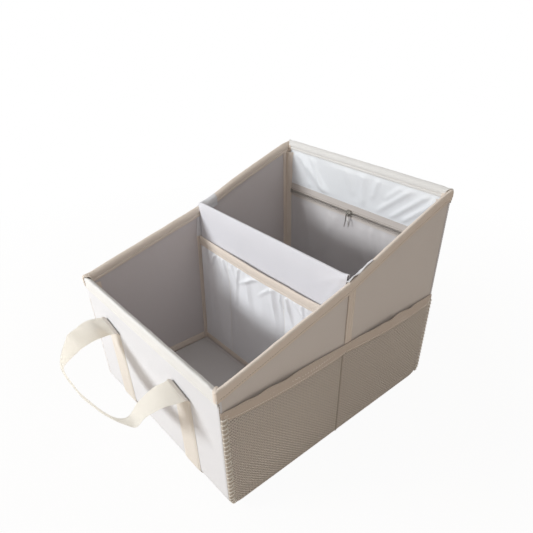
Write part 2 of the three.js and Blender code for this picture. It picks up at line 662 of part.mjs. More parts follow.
const lugHalf = sliderHalf * 0.62;
const lugRod = new THREE.CylinderGeometry(LUG_RADIUS, LUG_RADIUS, 2 * lugHalf, 10)
  .rotateZ(Math.PI / 2).translate(0, lugY, 0);
const lugFeet = [-lugHalf, lugHalf - 2 * LUG_RADIUS].map((x) => slab(x, x + 2 * LUG_RADIUS,
  lugY - LUG_RADIUS * 0.6, plateFront + SLIDER_PLATE / 2, -LUG_RADIUS, LUG_RADIUS));
const sliderRims = [1, -1].map((side) => slab(-sliderHalf * 0.7, sliderHalf * 0.7,
  plateBack - SLIDER_PLATE / 2, tapeFront - SLIDER_PLAY,
  Math.min(side * rimInner, side * (SLIDER_HALF_WIDTH - 0.2)),
  Math.max(side * rimInner, side * (SLIDER_HALF_WIDTH - 0.2))));
const sliderPost = slab(sliderHalf * 0.2, sliderHalf * 0.8, plateBack - SLIDER_PLATE / 2,
  backPlateFront + SLIDER_PLATE / 2, -postHalf, postHalf);
const slider = joined(sliderPlate(plateFront, plateBack),
  sliderPlate(backPlateFront, backPlateFront + SLIDER_PLATE),
  sliderPost, ...sliderRims, lugRod, ...lugFeet);
place('zip_slider', slider.translate(SLIDER_AT, 0, zipZ), steel());

// Pull: a wire bent over the lug, its two legs hanging down and standing apart
const wireTurn = LUG_RADIUS + SLIDER_PLAY + PULL_WIRE / 2;
const pullRoute = [
  [-4.2, 0, -PULL_LENGTH],
  [-2.4, 0, -PULL_LENGTH * 0.55],
  [-0.9, -wireTurn * 0.7, -3.4 * wireTurn],
  [-0.3, -wireTurn, 0],
  [0, 0, wireTurn],
  [0.3, wireTurn, 0],
  [0.9, wireTurn * 0.7, -3.4 * wireTurn],
  [2.6, 0, -PULL_LENGTH * 0.5],
  [5.0, 0, -PULL_LENGTH * 0.8],
].map(([x, y, z]) => new THREE.Vector3(SLIDER_AT + x, lugY + y, zipZ + z));
const wire = new THREE.Shape().absarc(0, 0, PULL_WIRE / 2, 0, 2 * Math.PI, false);
place('zip_pull', new THREE.ExtrudeGeometry(wire, {
  steps: 36, curveSegments: 3, bevelEnabled: false,
  extrudePath: new THREE.CatmullRomCurve3(pullRoute),
}), steel());

// Webbing straps: up the front, under the base and up the back, bent out at both tops
const strapX = [-1, 1].map((side) => HANDLE_OFFSET + side * HANDLE_SPACING / 2);
function strapOutline() {
  const back = DEPTH / 2 + PLY_GAP;
  const face = back + WEBBING;
  const turn = BASE + CORNER_RADIUS;
  const under = turn - WEBBING;
  const frontFold = FRONT_HEIGHT - FOLD_DROP;
  const backFold = BACK_HEIGHT - FOLD_DROP;
  const quarter = Math.PI / 2;
  const shape = new THREE.Shape();
  shape.moveTo(-face - FOLD_BEND, frontFold + FOLD_BEND);
  shape.absarc(-face - FOLD_BEND, frontFold, FOLD_BEND, quarter, 0, true);
  shape.absarc(-ARC_Y, turn, turn, 2 * quarter, 3 * quarter, false);
  shape.absarc(ARC_Y, turn, turn, 3 * quarter, 4 * quarter, false);
  shape.absarc(face + FOLD_BEND, backFold, FOLD_BEND, 2 * quarter, quarter, true);
  shape.absarc(face + FOLD_BEND, backFold, FOLD_BEND + WEBBING, quarter, 2 * quarter, false);
  shape.absarc(ARC_Y, turn, under, 4 * quarter, 3 * quarter, true);
  shape.absarc(-ARC_Y, turn, under, 3 * quarter, 2 * quarter, true);
  shape.absarc(-face - FOLD_BEND, frontFold, FOLD_BEND + WEBBING, 0, quarter, false);
  return shape;
}
for (const [name, x] of [['left', strapX[0]], ['right', strapX[1]]]) {
  place(`${name}_strap`,
    alongX(strapOutline(), x - WEBBING_WIDTH / 2, x + WEBBING_WIDTH / 2), webbing());
}

// Handle loops. The webbing leaves its fold lying flat, rolls on to its edge at each corner and
// droops between them. along runs from strap to strap, out and down are shares of the reach and
// the droop, and roll is in degrees from flat.
const LOOP_ROUTE = [
  { along: -1, out: 0, down: 0, roll: 0 },
  { along: -1, out: 0.27, down: -0.04, roll: 4 },
  { along: -0.97, out: 0.54, down: 0.08, roll: 18 },
  { along: -0.91, out: 0.76, down: 0.32, roll: 44 },
  { along: -0.81, out: 0.93, down: 0.66, roll: 74 },
  { along: -0.56, out: 1, down: 0.93, roll: 88 },
  { along: -0.12, out: 0.98, down: 0.98, roll: 90 },
  { along: 0.38, out: 0.93, down: 0.83, roll: 90 },
  { along: 0.77, out: 0.87, down: 0.66, roll: 84 },
  { along: 0.94, out: 0.73, down: 0.52, roll: 58 },
  { along: 0.97, out: 0.48, down: 0.2, roll: 20 },
  { along: 0.99, out: 0.24, down: -0.05, roll: 4 },
  { along: 1, out: 0, down: 0, roll: 0 },
];
const LOOP_STEPS = 44;

function handleLoop(height) {
  const foldY = -(DEPTH / 2 + PLY_GAP + WEBBING / 2 + FOLD_BEND + WEBBING / 2)
    - SEAM_GAP - WEBBING / 2;
  const foldZ = height - FOLD_DROP + FOLD_BEND + WEBBING / 2;
  const route = new THREE.CatmullRomCurve3(LOOP_ROUTE.map((p) => new THREE.Vector3(
    HANDLE_OFFSET + p.along * HANDLE_SPACING / 2,
    foldY - p.out * LOOP_REACH, foldZ - p.down * LOOP_DROP)));
  const lie = new THREE.CatmullRomCurve3(LOOP_ROUTE.map((p) => {
    const roll = THREE.MathUtils.degToRad(p.roll);
    return new THREE.Vector3(
      Math.sign(p.along) * Math.cos(roll), -LOOP_LEAN * Math.sin(roll), Math.sin(roll));
  }));
  const ribbon = thinPanel(evenly(LOOP_STEPS), [0, 1], (u, v, face) => {
    const along = route.getTangent(u);
    const across = lie.getPoint(u);
    across.addScaledVector(along, -across.dot(along)).normalize();
    const up = new THREE.Vector3().crossVectors(along, across);
    return route.getPoint(u)
      .addScaledVector(across, (v - 0.5) * WEBBING_WIDTH)
      .addScaledVector(up, (face - 0.5) * WEBBING).toArray();
  });
  const rolledEnds = strapX.map((x) =>
    new THREE.CylinderGeometry(WEBBING / 2, WEBBING / 2, WEBBING_WIDTH, 12)
      .rotateZ(Math.PI / 2).translate(x, foldY, foldZ));
  return joined(ribbon, ...rolledEnds);
}
place('front_handle', handleLoop(FRONT_HEIGHT), webbing());
place('back_handle', backOf(handleLoop(BACK_HEIGHT)), webbing());

// Loose base boards
const boardHalf = TAPE_X - BASE_BOARD_PLAY;
const boardReach = ARC_Y - BASE_BOARD_END_PLAY;
const boardZ = FLOOR_TOP + SEAM_GAP;
place('front_base_board',
  slab(-boardHalf, boardHalf, -boardReach, BASE_BOARD_FRONT_END, boardZ, boardZ + BASE_BOARD),
  innerCloth());
place('rear_base_board',
  slab(-boardHalf, boardHalf, BASE_BOARD_REAR_START, boardReach, boardZ, boardZ + BASE_BOARD),
  innerCloth());

export default box;
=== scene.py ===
import math

import bpy
from mathutils import Matrix, Vector, noise


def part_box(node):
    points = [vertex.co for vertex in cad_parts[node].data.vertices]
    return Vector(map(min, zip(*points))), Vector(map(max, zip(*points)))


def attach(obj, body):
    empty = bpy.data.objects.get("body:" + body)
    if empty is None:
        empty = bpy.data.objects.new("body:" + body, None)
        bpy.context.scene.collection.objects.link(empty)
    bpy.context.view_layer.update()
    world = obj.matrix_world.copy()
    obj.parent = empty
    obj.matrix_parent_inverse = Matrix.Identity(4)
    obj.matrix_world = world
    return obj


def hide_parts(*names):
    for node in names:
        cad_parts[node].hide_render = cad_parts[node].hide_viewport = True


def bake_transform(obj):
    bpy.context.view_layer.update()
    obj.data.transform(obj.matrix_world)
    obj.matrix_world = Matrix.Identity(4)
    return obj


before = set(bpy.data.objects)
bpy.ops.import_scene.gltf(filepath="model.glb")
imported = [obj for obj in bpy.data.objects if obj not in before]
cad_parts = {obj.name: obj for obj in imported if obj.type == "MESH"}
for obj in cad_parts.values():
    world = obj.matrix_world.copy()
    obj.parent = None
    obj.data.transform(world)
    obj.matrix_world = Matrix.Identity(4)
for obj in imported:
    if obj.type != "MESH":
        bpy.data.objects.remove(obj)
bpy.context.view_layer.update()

# Car seat organizer: a folding box sewn from cloth over stiff boards, low in front and high at the back.
# Lengths are metres. +X is the right side, -Y the low front, +Z up, and the origin is on the ground.
MM = 0.001


# Camera
# It stands in front of the right front corner and looks down into the box. Place, turn and shift follow
# the photograph's own perspective, solved from the corners of the box.
CAMERA_AT = (0.4437, -0.3577, 0.5025)
AZIMUTH = math.radians(46.48)
ELEVATION = math.radians(35.70)
ROLL = math.radians(1.00)
SENSOR = 36
FOCAL_PIXELS = 480.8
FRAME_PIXELS = 533
CENTRE_PIXEL = (296.9, 328.1)


def placed(name, data):
    """An object with that data, in the scene."""
    made = bpy.data.objects.new(name, data)
    bpy.context.scene.collection.objects.link(made)
    return made


back = Vector((math.sin(AZIMUTH) * math.cos(ELEVATION),
               -math.cos(AZIMUTH) * math.cos(ELEVATION), math.sin(ELEVATION)))
level = Vector((0, 0, 1)).cross(back).normalized()
upright = back.cross(level)
right = math.cos(ROLL) * level + math.sin(ROLL) * upright
up = math.cos(ROLL) * upright - math.sin(ROLL) * level
lens = bpy.data.cameras.new("camera")
lens.sensor_width = SENSOR
lens.lens = SENSOR * FOCAL_PIXELS / FRAME_PIXELS
lens.shift_x = 0.5 - CENTRE_PIXEL[0] / FRAME_PIXELS
lens.shift_y = CENTRE_PIXEL[1] / FRAME_PIXELS - 0.5
camera = placed("camera", lens)
camera.matrix_world = Matrix.Translation(CAMERA_AT) @ Matrix((right, up, back)).transposed().to_4x4()
bpy.context.scene.camera = camera


# Light and floor
# One large soft lamp low in front, a little to the left, as from a window. The room fills the shade with
# a warmer light. The floor is pale and looks white to the camera, and keeps a faint shadow of the box.
LAMP_WAY = Vector((-0.55, -1.0, 0.40)).normalized()
LAMP_DISTANCE = 2.2
LAMP_AIM = Vector((0, 0, 0.15))
LAMP_WIDE = 0.80
LAMP_TALL = 0.34
LAMP_WATTS = 37
WHITE = (1, 1, 1, 1)
ROOM_LOW = (0.28, 0.225, 0.185, 1)
ROOM_HIGH = (0.62, 0.61, 0.595, 1)
FLOOR_HALF = 30.0
FLOOR_DROP = 0.2 * MM      # the floor lies this far below the straps
FLOOR_PAPER = (0.76, 0.69, 0.62, 1)
FLOOR_WHITE = 0.95
WHITE_FROM = 0.35          # how far from the box the floor starts to fade into white, and over what length
WHITE_OVER = 0.6
lamp = bpy.data.lights.new("window", "AREA")
lamp.shape = "RECTANGLE"
lamp.size = LAMP_WIDE
lamp.size_y = LAMP_TALL
lamp.energy = LAMP_WATTS
lamp.color = (0.955, 0.985, 1.0)
window = placed("window", lamp)
window.location = LAMP_WAY * LAMP_DISTANCE + LAMP_AIM
window.rotation_euler = LAMP_WAY.to_track_quat("Z", "Y").to_euler()
bpy.context.scene.view_settings.view_transform = "Standard"


def feed(tree, entry, value):
    """Set an input to a value, or link it where the value is a socket."""
    if isinstance(value, bpy.types.NodeSocket):
        tree.links.new(value, entry)
    else:
        entry.default_value = value


def feed_named(tree, node, **values):
    """Feed the inputs of these names, with _ for a space."""
    for name, value in values.items():
        feed(tree, node.inputs[name.replace("_", " ")], value)


def add(tree, kind, operation=None, **values):
    """A node with its named inputs set."""
    node = tree.nodes.new(kind)
    if operation:
        node.operation = operation
    feed_named(tree, node, **values)
    return node


def math_node(tree, operation, *values, clamp=False):
    """A Math node. Each value is a number or a socket."""
    node = add(tree, "ShaderNodeMath", operation)
    node.use_clamp = clamp
    for entry, value in zip(node.inputs, values):
        feed(tree, entry, value)
    return node.outputs[0]


def mix_colour(tree, share, first, second):
    node = add(tree, "ShaderNodeMix")
    node.data_type = "RGBA"
    for entry, value in ((0, share), (6, first), (7, second)):
        feed(tree, node.inputs[entry], value)
    return node.outputs[2]


def mix_shader(tree, share, first, second):
    """Two shader nodes mixed: share is how much of the second."""
    node = add(tree, "ShaderNodeMixShader")
    for entry, value in zip(node.inputs, (share, first.outputs[0], second.outputs[0])):
        feed(tree, entry, value)
    return node.outputs[0]


def sees_white(tree):
    """1 for the rays that should meet a white room: the camera's, and those that gloss and glass send."""
    path = add(tree, "ShaderNodeLightPath")
    seen = math_node(tree, "MAXIMUM", path.outputs["Is Camera Ray"], path.outputs["Is Transmission Ray"])
    return math_node(tree, "MAXIMUM", seen, path.outputs["Is Glossy Ray"])


room = bpy.data.worlds.new("room")
room.use_nodes = True
sky = room.node_tree
sky.nodes.clear()
way = add(sky, "ShaderNodeSeparateXYZ", Vector=add(sky, "ShaderNodeTexCoord").outputs["Generated"])
height = math_node(sky, "MULTIPLY_ADD", way.outputs["Z"], 1.1, 0.05, clamp=True)
fill = mix_colour(sky, height, ROOM_LOW, ROOM_HIGH)
air = add(sky, "ShaderNodeBackground", Color=mix_colour(sky, sees_white(sky), fill, WHITE))
add(sky, "ShaderNodeOutputWorld", Surface=air.outputs[0])
bpy.context.scene.world = room

floor_mesh = bpy.data.meshes.new("floor")
floor_mesh.from_pydata([(x * FLOOR_HALF, y * FLOOR_HALF, -FLOOR_DROP)
                        for x, y in ((-1, -1), (1, -1), (1, 1), (-1, 1))], [], [(0, 1, 2, 3)])
floor = placed("floor", floor_mesh)
paper = bpy.data.materials.new("floor_paper")
paper.use_nodes = True
ground = paper.node_tree
ground.nodes.clear()
away = add(ground, "ShaderNodeVectorMath", "LENGTH",
           Vector=add(ground, "ShaderNodeTexCoord").outputs["Object"]).outputs["Value"]
fade = math_node(ground, "MULTIPLY_ADD", away, 1 / WHITE_OVER, -WHITE_FROM / WHITE_OVER, clamp=True)
white_share = math_node(ground, "MULTIPLY_ADD", fade, 1 - FLOOR_WHITE, FLOOR_WHITE)
add(ground, "ShaderNodeOutputMaterial", Surface=mix_shader(
    ground, math_node(ground, "MULTIPLY", sees_white(ground), white_share),
    add(ground, "ShaderNodeBsdfDiffuse", Color=FLOOR_PAPER), add(ground, "ShaderNodeEmission", Color=WHITE)))
floor_mesh.materials.append(paper)


# Outer cloth
# A woven polyester with a thin matt coating. One strip runs up the front, under the base and up the back,
# and its edges turn over the side seams. Each side has two panels that meet at the centre seam.
panel_low, panel_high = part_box("right_front_cloth")
base_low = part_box("base_cloth")[0]
HALF_WIDTH = panel_high.x
HALF_DEPTH = -panel_low.y
UNDER = base_low.z
FRONT_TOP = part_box("front_rim_binding")[1].z
BACK_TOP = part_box("back_rim_binding")[1].z
MID_TOP = panel_high.z + 1.2 * MM
CORNER = HALF_DEPTH + base_low.y
TURN_Y = HALF_DEPTH - CORNER
QUARTER = math.pi / 2
CLOTH = 0.9 * MM
SEAM_TURN = 3.2 * MM       # how far the strip turns over each side seam
TUCK = 1.4 * MM            # how far a wall cloth ends below the rim
SIDE_TUCK = 2.6 * MM       # how far a side panel ends before the strip's face
MOUTH = 150 * MM           # about the height of the mesh pocket's mouth
# The two sides, and the four quarters of the box as side, end and name.
SIDES = ((1, "right"), (-1, "left"))
QUARTERS = [(side, end, f"{name}_{half}")
            for side, name in SIDES for end, half in ((-1, "front"), (1, "rear"))]


def clamp(value, low=0.0, high=1.0):
    return max(low, min(high, value))


def ease(value):
    value = clamp(value)
    return value * value * (3 - 2 * value)


def fade(value, length):
    """0 up to 0, 1 from that length on, and smooth between."""
    return ease(value / length)


def bell(away, width):
    """1 at the middle, and falling off smoothly to both sides."""
    return math.exp(-(away / width) ** 2)


def ripple(a, b, size, seed):
    """Smooth noise from -1 to 1 over a cloth, at points a, b in metres, with waves of about that size."""
    return noise.noise(Vector((a / size, b / size, seed * 7.3)))


def spread(start, stop, steps):
    return [start + (stop - start) * i / steps for i in range(steps + 1)]


def reaches(points):
    """How far along a line each of its points is."""
    made = [0.0]
    for a, b in zip(points, points[1:]):
        made.append(made[-1] + (b - a).length)
    return made


def rim_at(y):
    end_top = FRONT_TOP if y < 0 else BACK_TOP
    return MID_TOP + (end_top - MID_TOP) * abs(y) / HALF_DEPTH


def new_piece(name, points, faces, finish, uv, sharp=45):
    """An object from points and faces, smooth but for edges sharper than that angle."""
    mesh = bpy.data.meshes.new(name)
    mesh.from_pydata([tuple(p) for p in points], [], faces)
    layer = mesh.uv_layers.new(name="weave")
    for loop in mesh.loops:
        layer.data[loop.index].uv = uv[loop.vertex_index]
    mesh.shade_smooth()
    mesh.set_sharp_from_angle(angle=math.radians(sharp))
    mesh.materials.append(finish)
    return placed(name, mesh)


def cloth_mesh(across, along, at, thickness):
    """Points, faces and lengths of a cloth through at(u, v). Its face is on the side that turning from u
    to v points to by the right-hand rule. thickness is a length, or a function of u and v."""
    columns, rows = len(across), len(along)
    middle = [[Vector(at(u, v)) for u in across] for v in along]
    front, rear = [], []
    for j, line in enumerate(middle):
        for i, u in enumerate(across):
            run = line[min(i + 1, columns - 1)] - line[max(i - 1, 0)]
            rise = middle[min(j + 1, rows - 1)][i] - middle[max(j - 1, 0)][i]
            thick = thickness(u, along[j]) if callable(thickness) else thickness
            off = run.cross(rise).normalized() * thick / 2
            front.append(line[i] + off)
            rear.append(line[i] - off)
    half = columns * rows
    faces = []
    for a in range(half - columns):
        if (a + 1) % columns:
            b, c, d = a + 1, a + columns + 1, a + columns
            faces += [(a, b, c, d), (half + a, half + d, half + c, half + b)]
    ring = (list(range(columns - 1)) + list(range(columns - 1, half - 1, columns))
            + list(range(half - 1, half - columns, -1)) + list(range(half - columns, 0, -columns)))
    faces += [(a, half + a, half + b, b) for a, b in zip(ring, ring[1:] + ring[:1])]
    wide = reaches(middle[rows // 2])
    long = reaches([line[columns // 2] for line in middle])
    return front + rear, faces, [(u, v) for v in long for u in wide] * 2


def cloth_piece(name, across, along, at, thickness, finish, sharp=45):
    points, faces, uv = cloth_mesh(across, along, at, thickness)
    return new_piece(name, points, faces, finish, uv, sharp)


def sewn(piece, slot, *nodes, body="box", **sheet):
    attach(piece, body)
    if nodes:
        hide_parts(*nodes)


def srgb(red, green, blue):
    """A colour as it reads on screen, 0 to 255, turned into the linear values that shaders take."""
    parts = [part / 255 for part in (red, green, blue)]
    return (*[p / 12.92 if p <= 0.04045 else ((p + 0.055) / 1.055) ** 2.4 for p in parts], 1.0)


def new_finish(name):
    """A material, its node tree and its shader."""
    made = bpy.data.materials.new(name)
    made.use_nodes = True
    return made, made.node_tree, made.node_tree.nodes["Principled BSDF"]


def specks(tree, place, scale, detail):
    return add(tree, "ShaderNodeTexNoise", Vector=place, Scale=scale, Detail=detail).outputs["Fac"]


BLOTCH = 9.0               # the slow change of shade, in waves per metre, and how far the shade moves
SHIFT = 0.04


def woven(name, colour, pitch, rise, roughness, sheen=0.0, specular=0.3, tilt=0.0):
    """A plain weave on the piece's own UV map, in metres: threads that pass over and under each other, a
    slow change of shade over the cloth, and threads that differ a little."""
    made, tree, shader = new_finish(name)
    lengths = add(tree, "ShaderNodeUVMap")
    lengths.uv_map = "weave"
    turned = add(tree, "ShaderNodeMapping", Vector=lengths.outputs[0], Rotation=(0, 0, tilt),
                 Scale=(1 / pitch, 1 / pitch, 1)).outputs[0]
    axes = add(tree, "ShaderNodeSeparateXYZ", Vector=turned)
    warp, weft = [math_node(tree, "ABSOLUTE", math_node(tree, "SINE", math_node(
        tree, "MULTIPLY", axes.outputs[axis], math.pi))) for axis in "XY"]
    over = add(tree, "ShaderNodeTexChecker", Vector=turned, Scale=1.0).outputs["Fac"]
    thread = add(tree, "ShaderNodeMix", Factor=over, A=warp, B=weft).outputs[0]
    cloud = specks(tree, add(tree, "ShaderNodeTexCoord").outputs["Object"], BLOTCH, 3)
    fibre = specks(tree, turned, 0.6, 2)
    shade = math_node(tree, "MULTIPLY_ADD", cloud, 2 * SHIFT, 1 - SHIFT)
    for part, most, least in ((fibre, 2 * SHIFT, 1 - SHIFT), (thread, 0.10, 0.92)):
        shade = math_node(tree, "MULTIPLY", shade, math_node(tree, "MULTIPLY_ADD", part, most, least))
    tinted = add(tree, "ShaderNodeVectorMath", "SCALE", Scale=shade)
    tinted.inputs[0].default_value = colour[:3]
    bump = add(tree, "ShaderNodeBump", Strength=0.7, Distance=rise, Height=thread)
    rough = math_node(tree, "MULTIPLY_ADD", fibre, 0.12, roughness - 0.06, clamp=True)
    feed_named(tree, shader, Base_Color=tinted.outputs[0], Normal=bump.outputs[0], Roughness=rough,
               Sheen_Weight=sheen, Sheen_Roughness=0.45, Specular_IOR_Level=specular)
    return made


OUTER = woven("outer_cloth", srgb(223, 223, 226), 0.55 * MM, 0.10 * MM, 0.72, sheen=0.10)
# The side panels are the same cloth as the front, given a warmer, darker colour: painted shade for the walls
# that face away from the lamp.
SHADED_SIDE_CLOTH = woven("side_cloth_painted_shade", srgb(220, 214, 209), 0.55 * MM, 0.10 * MM, 0.74, sheen=0.10)


def strip_path(inset, top_front, top_back, steps):
    """Points and outward normals in Y and Z, from the top of the front, under the base, to the top of the
    back, this far inside the outer face of the cloth. steps are for the front, each turn and the base."""
    radius = CORNER - inset
    wall, turn, base = steps

    def rounded(end, start, stop):
        return [(end * (TURN_Y + radius * math.cos(a)), UNDER + CORNER - radius * math.sin(a),
                 end * math.cos(a), -math.sin(a)) for a in spread(start, stop, turn)[1:]]

    return ([(inset - HALF_DEPTH, z, -1, 0) for z in spread(top_front, UNDER + CORNER, wall)]
            + rounded(-1, 0, QUARTER)
            + [(y, UNDER + inset, 0, -1) for y in spread(-TURN_Y, TURN_Y, base)[1:]]
            + rounded(1, QUARTER, 0)
            + [(HALF_DEPTH - inset, z, 1, 0) for z in spread(UNDER + CORNER, top_back, wall + 16)[1:]])


def wall_wave(along, height, seed, swing=0.5):
    """How far a wall's cloth stands off its board: slow swells, and short puckers up and down."""
    return swing * MM * (0.6 * ripple(along, height, 70 * MM, seed)
                         + 0.4 * ripple(along * 2.4, height, 34 * MM, seed + 3))


strap_low, strap_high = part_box("left_strap")
STRAP_AT = [(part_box(n)[0].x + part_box(n)[1].x) / 2 for n in ("left_strap", "right_strap")]
STRAP_HALF = (strap_high.x - strap_low.x) / 2
outer_path = strip_path(CLOTH / 2, FRONT_TOP - TUCK, BACK_TOP - TUCK, (30, 8, 20))
# How the strip's edge turns over the side seam: out from the seam, and back from the face.
EDGE_TURN = [(-1.5, 0.0), (-0.55, 0.18), (0.18, 0.75), (0.42, 1.5), (0.42, 2.4), (0.28, 3.2)]
strip_columns = ([(-HALF_WIDTH - x * MM, d * MM) for x, d in reversed(EDGE_TURN)]
                 + [(x, 0) for x in spread(-HALF_WIDTH + 4 * MM, HALF_WIDTH - 4 * MM, 56)]
                 + [(HALF_WIDTH + x * MM, d * MM) for x, d in EDGE_TURN])


def strip_point(column, station):
    x, drop = strip_columns[column]
    y, z, out_y, out_z = outer_path[station]
    under_strap = min(abs(x - at) for at in STRAP_AT) < STRAP_HALF + 4 * MM
    off = (0.0 if drop or under_strap else wall_wave(x, z + y, 1)) - drop
    return x, y + out_y * off, z + out_z * off


strip_length = FRONT_TOP + BACK_TOP + 2 * HALF_DEPTH - 2 * CORNER * (2 - QUARTER)
outer_strip = cloth_piece("outer_strip", range(len(strip_columns) - 1, -1, -1), range(len(outer_path)),
                          strip_point, CLOTH, OUTER)
sewn(outer_strip, "outer_cloth", "front_cloth", "base_cloth", "back_cloth", held="stretched",
     flat=(2 * (HALF_WIDTH + SEAM_TURN), strip_length), rests_on=["front_board", "back_board"])


def side_panel(name, side, end, x, inset, finish, bulge, thickness, tuck):
    """One half of a side wall, seen from the side that its cloth faces."""
    edge = HALF_DEPTH - SIDE_TUCK - inset
    radius = CORNER - inset

    def panel_point(y, share):
        into = clamp(abs(y) - TURN_Y, 0.0, radius)
        low = UNDER + radius - math.sqrt(radius ** 2 - into ** 2)
        z = low + share * (rim_at(y) - tuck - low)
        return side * (x + bulge(abs(y), z, end)), y, z

    # The columns stand closer together where the lower corner is round.
    columns = [end * y for y in spread(0.15 * MM, TURN_Y, 26)]
    columns += [end * (TURN_Y + (edge - TURN_Y) * math.sin(a)) for a in spread(0, QUARTER, 8)[1:]]
    return cloth_piece(name, columns[::side * end], spread(0, 1, 40), panel_point, thickness, finish)


def outer_bulge(y, z, end):
    clear = fade(z - MOUTH - 4 * MM, 22 * MM) * fade(HALF_DEPTH - y, 20 * MM) * fade(y, 14 * MM)
    swell = 1.3 * MM * clear * fade(rim_at(end * y) - z - 8 * MM, 30 * MM)
    return swell + clear * wall_wave(y * 1.6, z, 5 + end, 0.8)


def side_height(end):
    """How high one half of a side is: at most, and on average."""
    end_top = rim_at(end * HALF_DEPTH)
    return max(end_top, MID_TOP), (end_top + MID_TOP) / 2


for side, end, corner in QUARTERS:
    most, mean = side_height(end)
    panel = side_panel(f"{corner}_panel", side, end, HALF_WIDTH - CLOTH / 2, 0.0, SHADED_SIDE_CLOTH, outer_bulge,
                       CLOTH, TUCK)
    sewn(panel, "outer_cloth", f"{corner}_cloth", flat=(HALF_DEPTH, most), area=HALF_DEPTH * mean,
         held="stretched", rests_on=[f"{corner}_board"])


# Stiff boards
# Pressed boards inside the walls and the divider, out of sight. They keep the walls upright, and a gap
# between the two in each side lets the side fold inwards.
def speckled(name, colour, scale, detail, dark, rise, roughness, swing=0.0, metallic=0.0):
    """A hard finish whose shade, gloss and surface vary a little from speck to speck."""
    made, tree, shader = new_finish(name)
    speck = specks(tree, add(tree, "ShaderNodeTexCoord").outputs["Object"], scale, detail)
    shade = (*[dark * part for part in colour[:3]], 1)
    bump = add(tree, "ShaderNodeBump", Distance=rise, Height=speck)
    rough = math_node(tree, "MULTIPLY_ADD", speck, swing, roughness - 0.1) if swing else roughness
    feed_named(tree, shader, Base_Color=mix_colour(tree, speck, shade, colour), Normal=bump.outputs[0],
               Roughness=rough, Metallic=metallic)
    return made


def finish_node(node, finish):
    """A CAD piece whose shape is right keeps it and gets its finish."""
    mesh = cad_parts[node].data
    mesh.materials.clear()
    mesh.materials.append(finish)


BOARD = speckled("stiff_board", srgb(150, 146, 142), 420, 6, 0.72, 0.1 * MM, 0.85)
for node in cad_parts:
    if node.endswith("_board") and "base" not in node:
        finish_node(node, BOARD)


# Lining
# A thinner woven polyester with a slight shine. One strip runs down the front wall, over the floor and up
# the back wall, and each side has two panels. It lies against the boards and puckers a little.
LINING = 0.8 * MM
LINING_TUCK = 3.4 * MM
LINING_CLOTH = woven("lining", srgb(208, 202, 202), 0.45 * MM, 0.07 * MM, 0.50, sheen=0.05, specular=0.4)
LINING_INSET = HALF_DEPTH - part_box("back_lining")[1].y + LINING / 2
LINING_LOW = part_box("floor_lining")[0].z + LINING / 2
LINING_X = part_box("front_lining")[1].x
LINING_DEPTH = HALF_DEPTH - 4 * MM
lining_drop = LINING_LOW - (UNDER + LINING_INSET)
lining_path = [(y, z + lining_drop, out_y, out_z) for y, z, out_y, out_z in strip_path(
    LINING_INSET, FRONT_TOP - LINING_TUCK - lining_drop, BACK_TOP - LINING_TUCK - lining_drop, (30, 8, 12))]


def lining_point(x, station):
    y, z, out_y, out_z = lining_path[station]
    in_wall = ease(abs(out_y) * (z - 30 * MM) / (20 * MM)) * fade(LINING_X - abs(x), 25 * MM)
    off = -in_wall * max(0.0, 0.45 * MM + wall_wave(x, z, 11 + out_y, 0.6))
    return x, y + out_y * off, z + out_z * off


lining_strip = cloth_piece("lining_strip", spread(-LINING_X, LINING_X, 48)[::-1], range(len(lining_path)),
                           lining_point, LINING, LINING_CLOTH)
sewn(lining_strip, "lining", "front_lining", "floor_lining", "back_lining", held="stretched",
     flat=(2 * LINING_X, strip_length - 14 * MM), rests_on=["front_board", "back_board", "outer_strip"])

for side, end, corner in QUARTERS:
    most, mean = side_height(end)
    low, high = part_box(f"{corner}_lining")
    key = end + 2 * side   # each panel puckers in its own way

    def lining_bulge(y, z, end):
        clear = fade(z - 22 * MM, 20 * MM) * fade(HALF_DEPTH - 20 * MM - y, 20 * MM)
        clear *= fade(y, 6 * MM) * fade(rim_at(key * y) - z - 14 * MM, 20 * MM)
        return -clear * max(0.0, 0.5 * MM + wall_wave(y, z, 21 + key, 0.7))

    panel = side_panel(f"{corner}_inner_panel", side, end, (abs(low.x) + abs(high.x)) / 2,
                       LINING_INSET - 0.1 * MM, LINING_CLOTH, lining_bulge, LINING, LINING_TUCK)
    sewn(panel, "lining", f"{corner}_lining", flat=(LINING_DEPTH, most), area=LINING_DEPTH * mean * 0.99,
         held="stretched", rests_on=[f"{corner}_board"])


# Bindings
# Polyester tape folded over every raw edge and stitched down. Along the rim it is rolled round the top of
# the wall, lies flat for a while and ends in a narrow ridge below its line of stitches.
TAPE_CLOTH = woven("binding_tape", srgb(229, 217, 205), 0.50 * MM, 0.10 * MM, 0.74, sheen=0.12)
# The front and back rims get a paler, greyer copy of the same binding tape: painted light for the rims that
# face the lamp.
LIT_END_TAPE_CLOTH = woven("binding_tape_painted_light", srgb(228, 227, 225), 0.50 * MM, 0.10 * MM, 0.74, sheen=0.12)
RIM_PLY = 0.9 * MM
TAPE_PLY = 0.8 * MM
ROLLED = 7 * MM            # what the roll over the wall's edge takes of the tape
INNER_LEG = 11 * MM
SIDE_LEG = 12 * MM
END_LEG = 17 * MM
CAP = 4.6 * MM             # how far a side tape turns round each corner, over the end of the other tape


def smooth_line(points, steps):
    """More points along a smooth curve through these."""
    points = [Vector(p) for p in points]
    last = len(points) - 1
    made = []
    for i in range(last):
        a, b, c, d = points[max(i - 1, 0)], points[i], points[i + 1], points[min(i + 2, last)]
        for t in [k / steps for k in range(steps)]:
            made.append(0.5 * (2 * b + (c - a) * t + (2 * a - 5 * b + 4 * c - d) * t ** 2
                               + (3 * b - a - 3 * c + d) * t ** 3))
    return made + [points[-1]]


def profile(*points):
    """The middle of a folded tape, from places in millimetres: outwards from the cloth, and up."""
    return [(p.x * MM, p.y * MM) for p in smooth_line([(out, rise, 0) for out, rise in points], 3)]


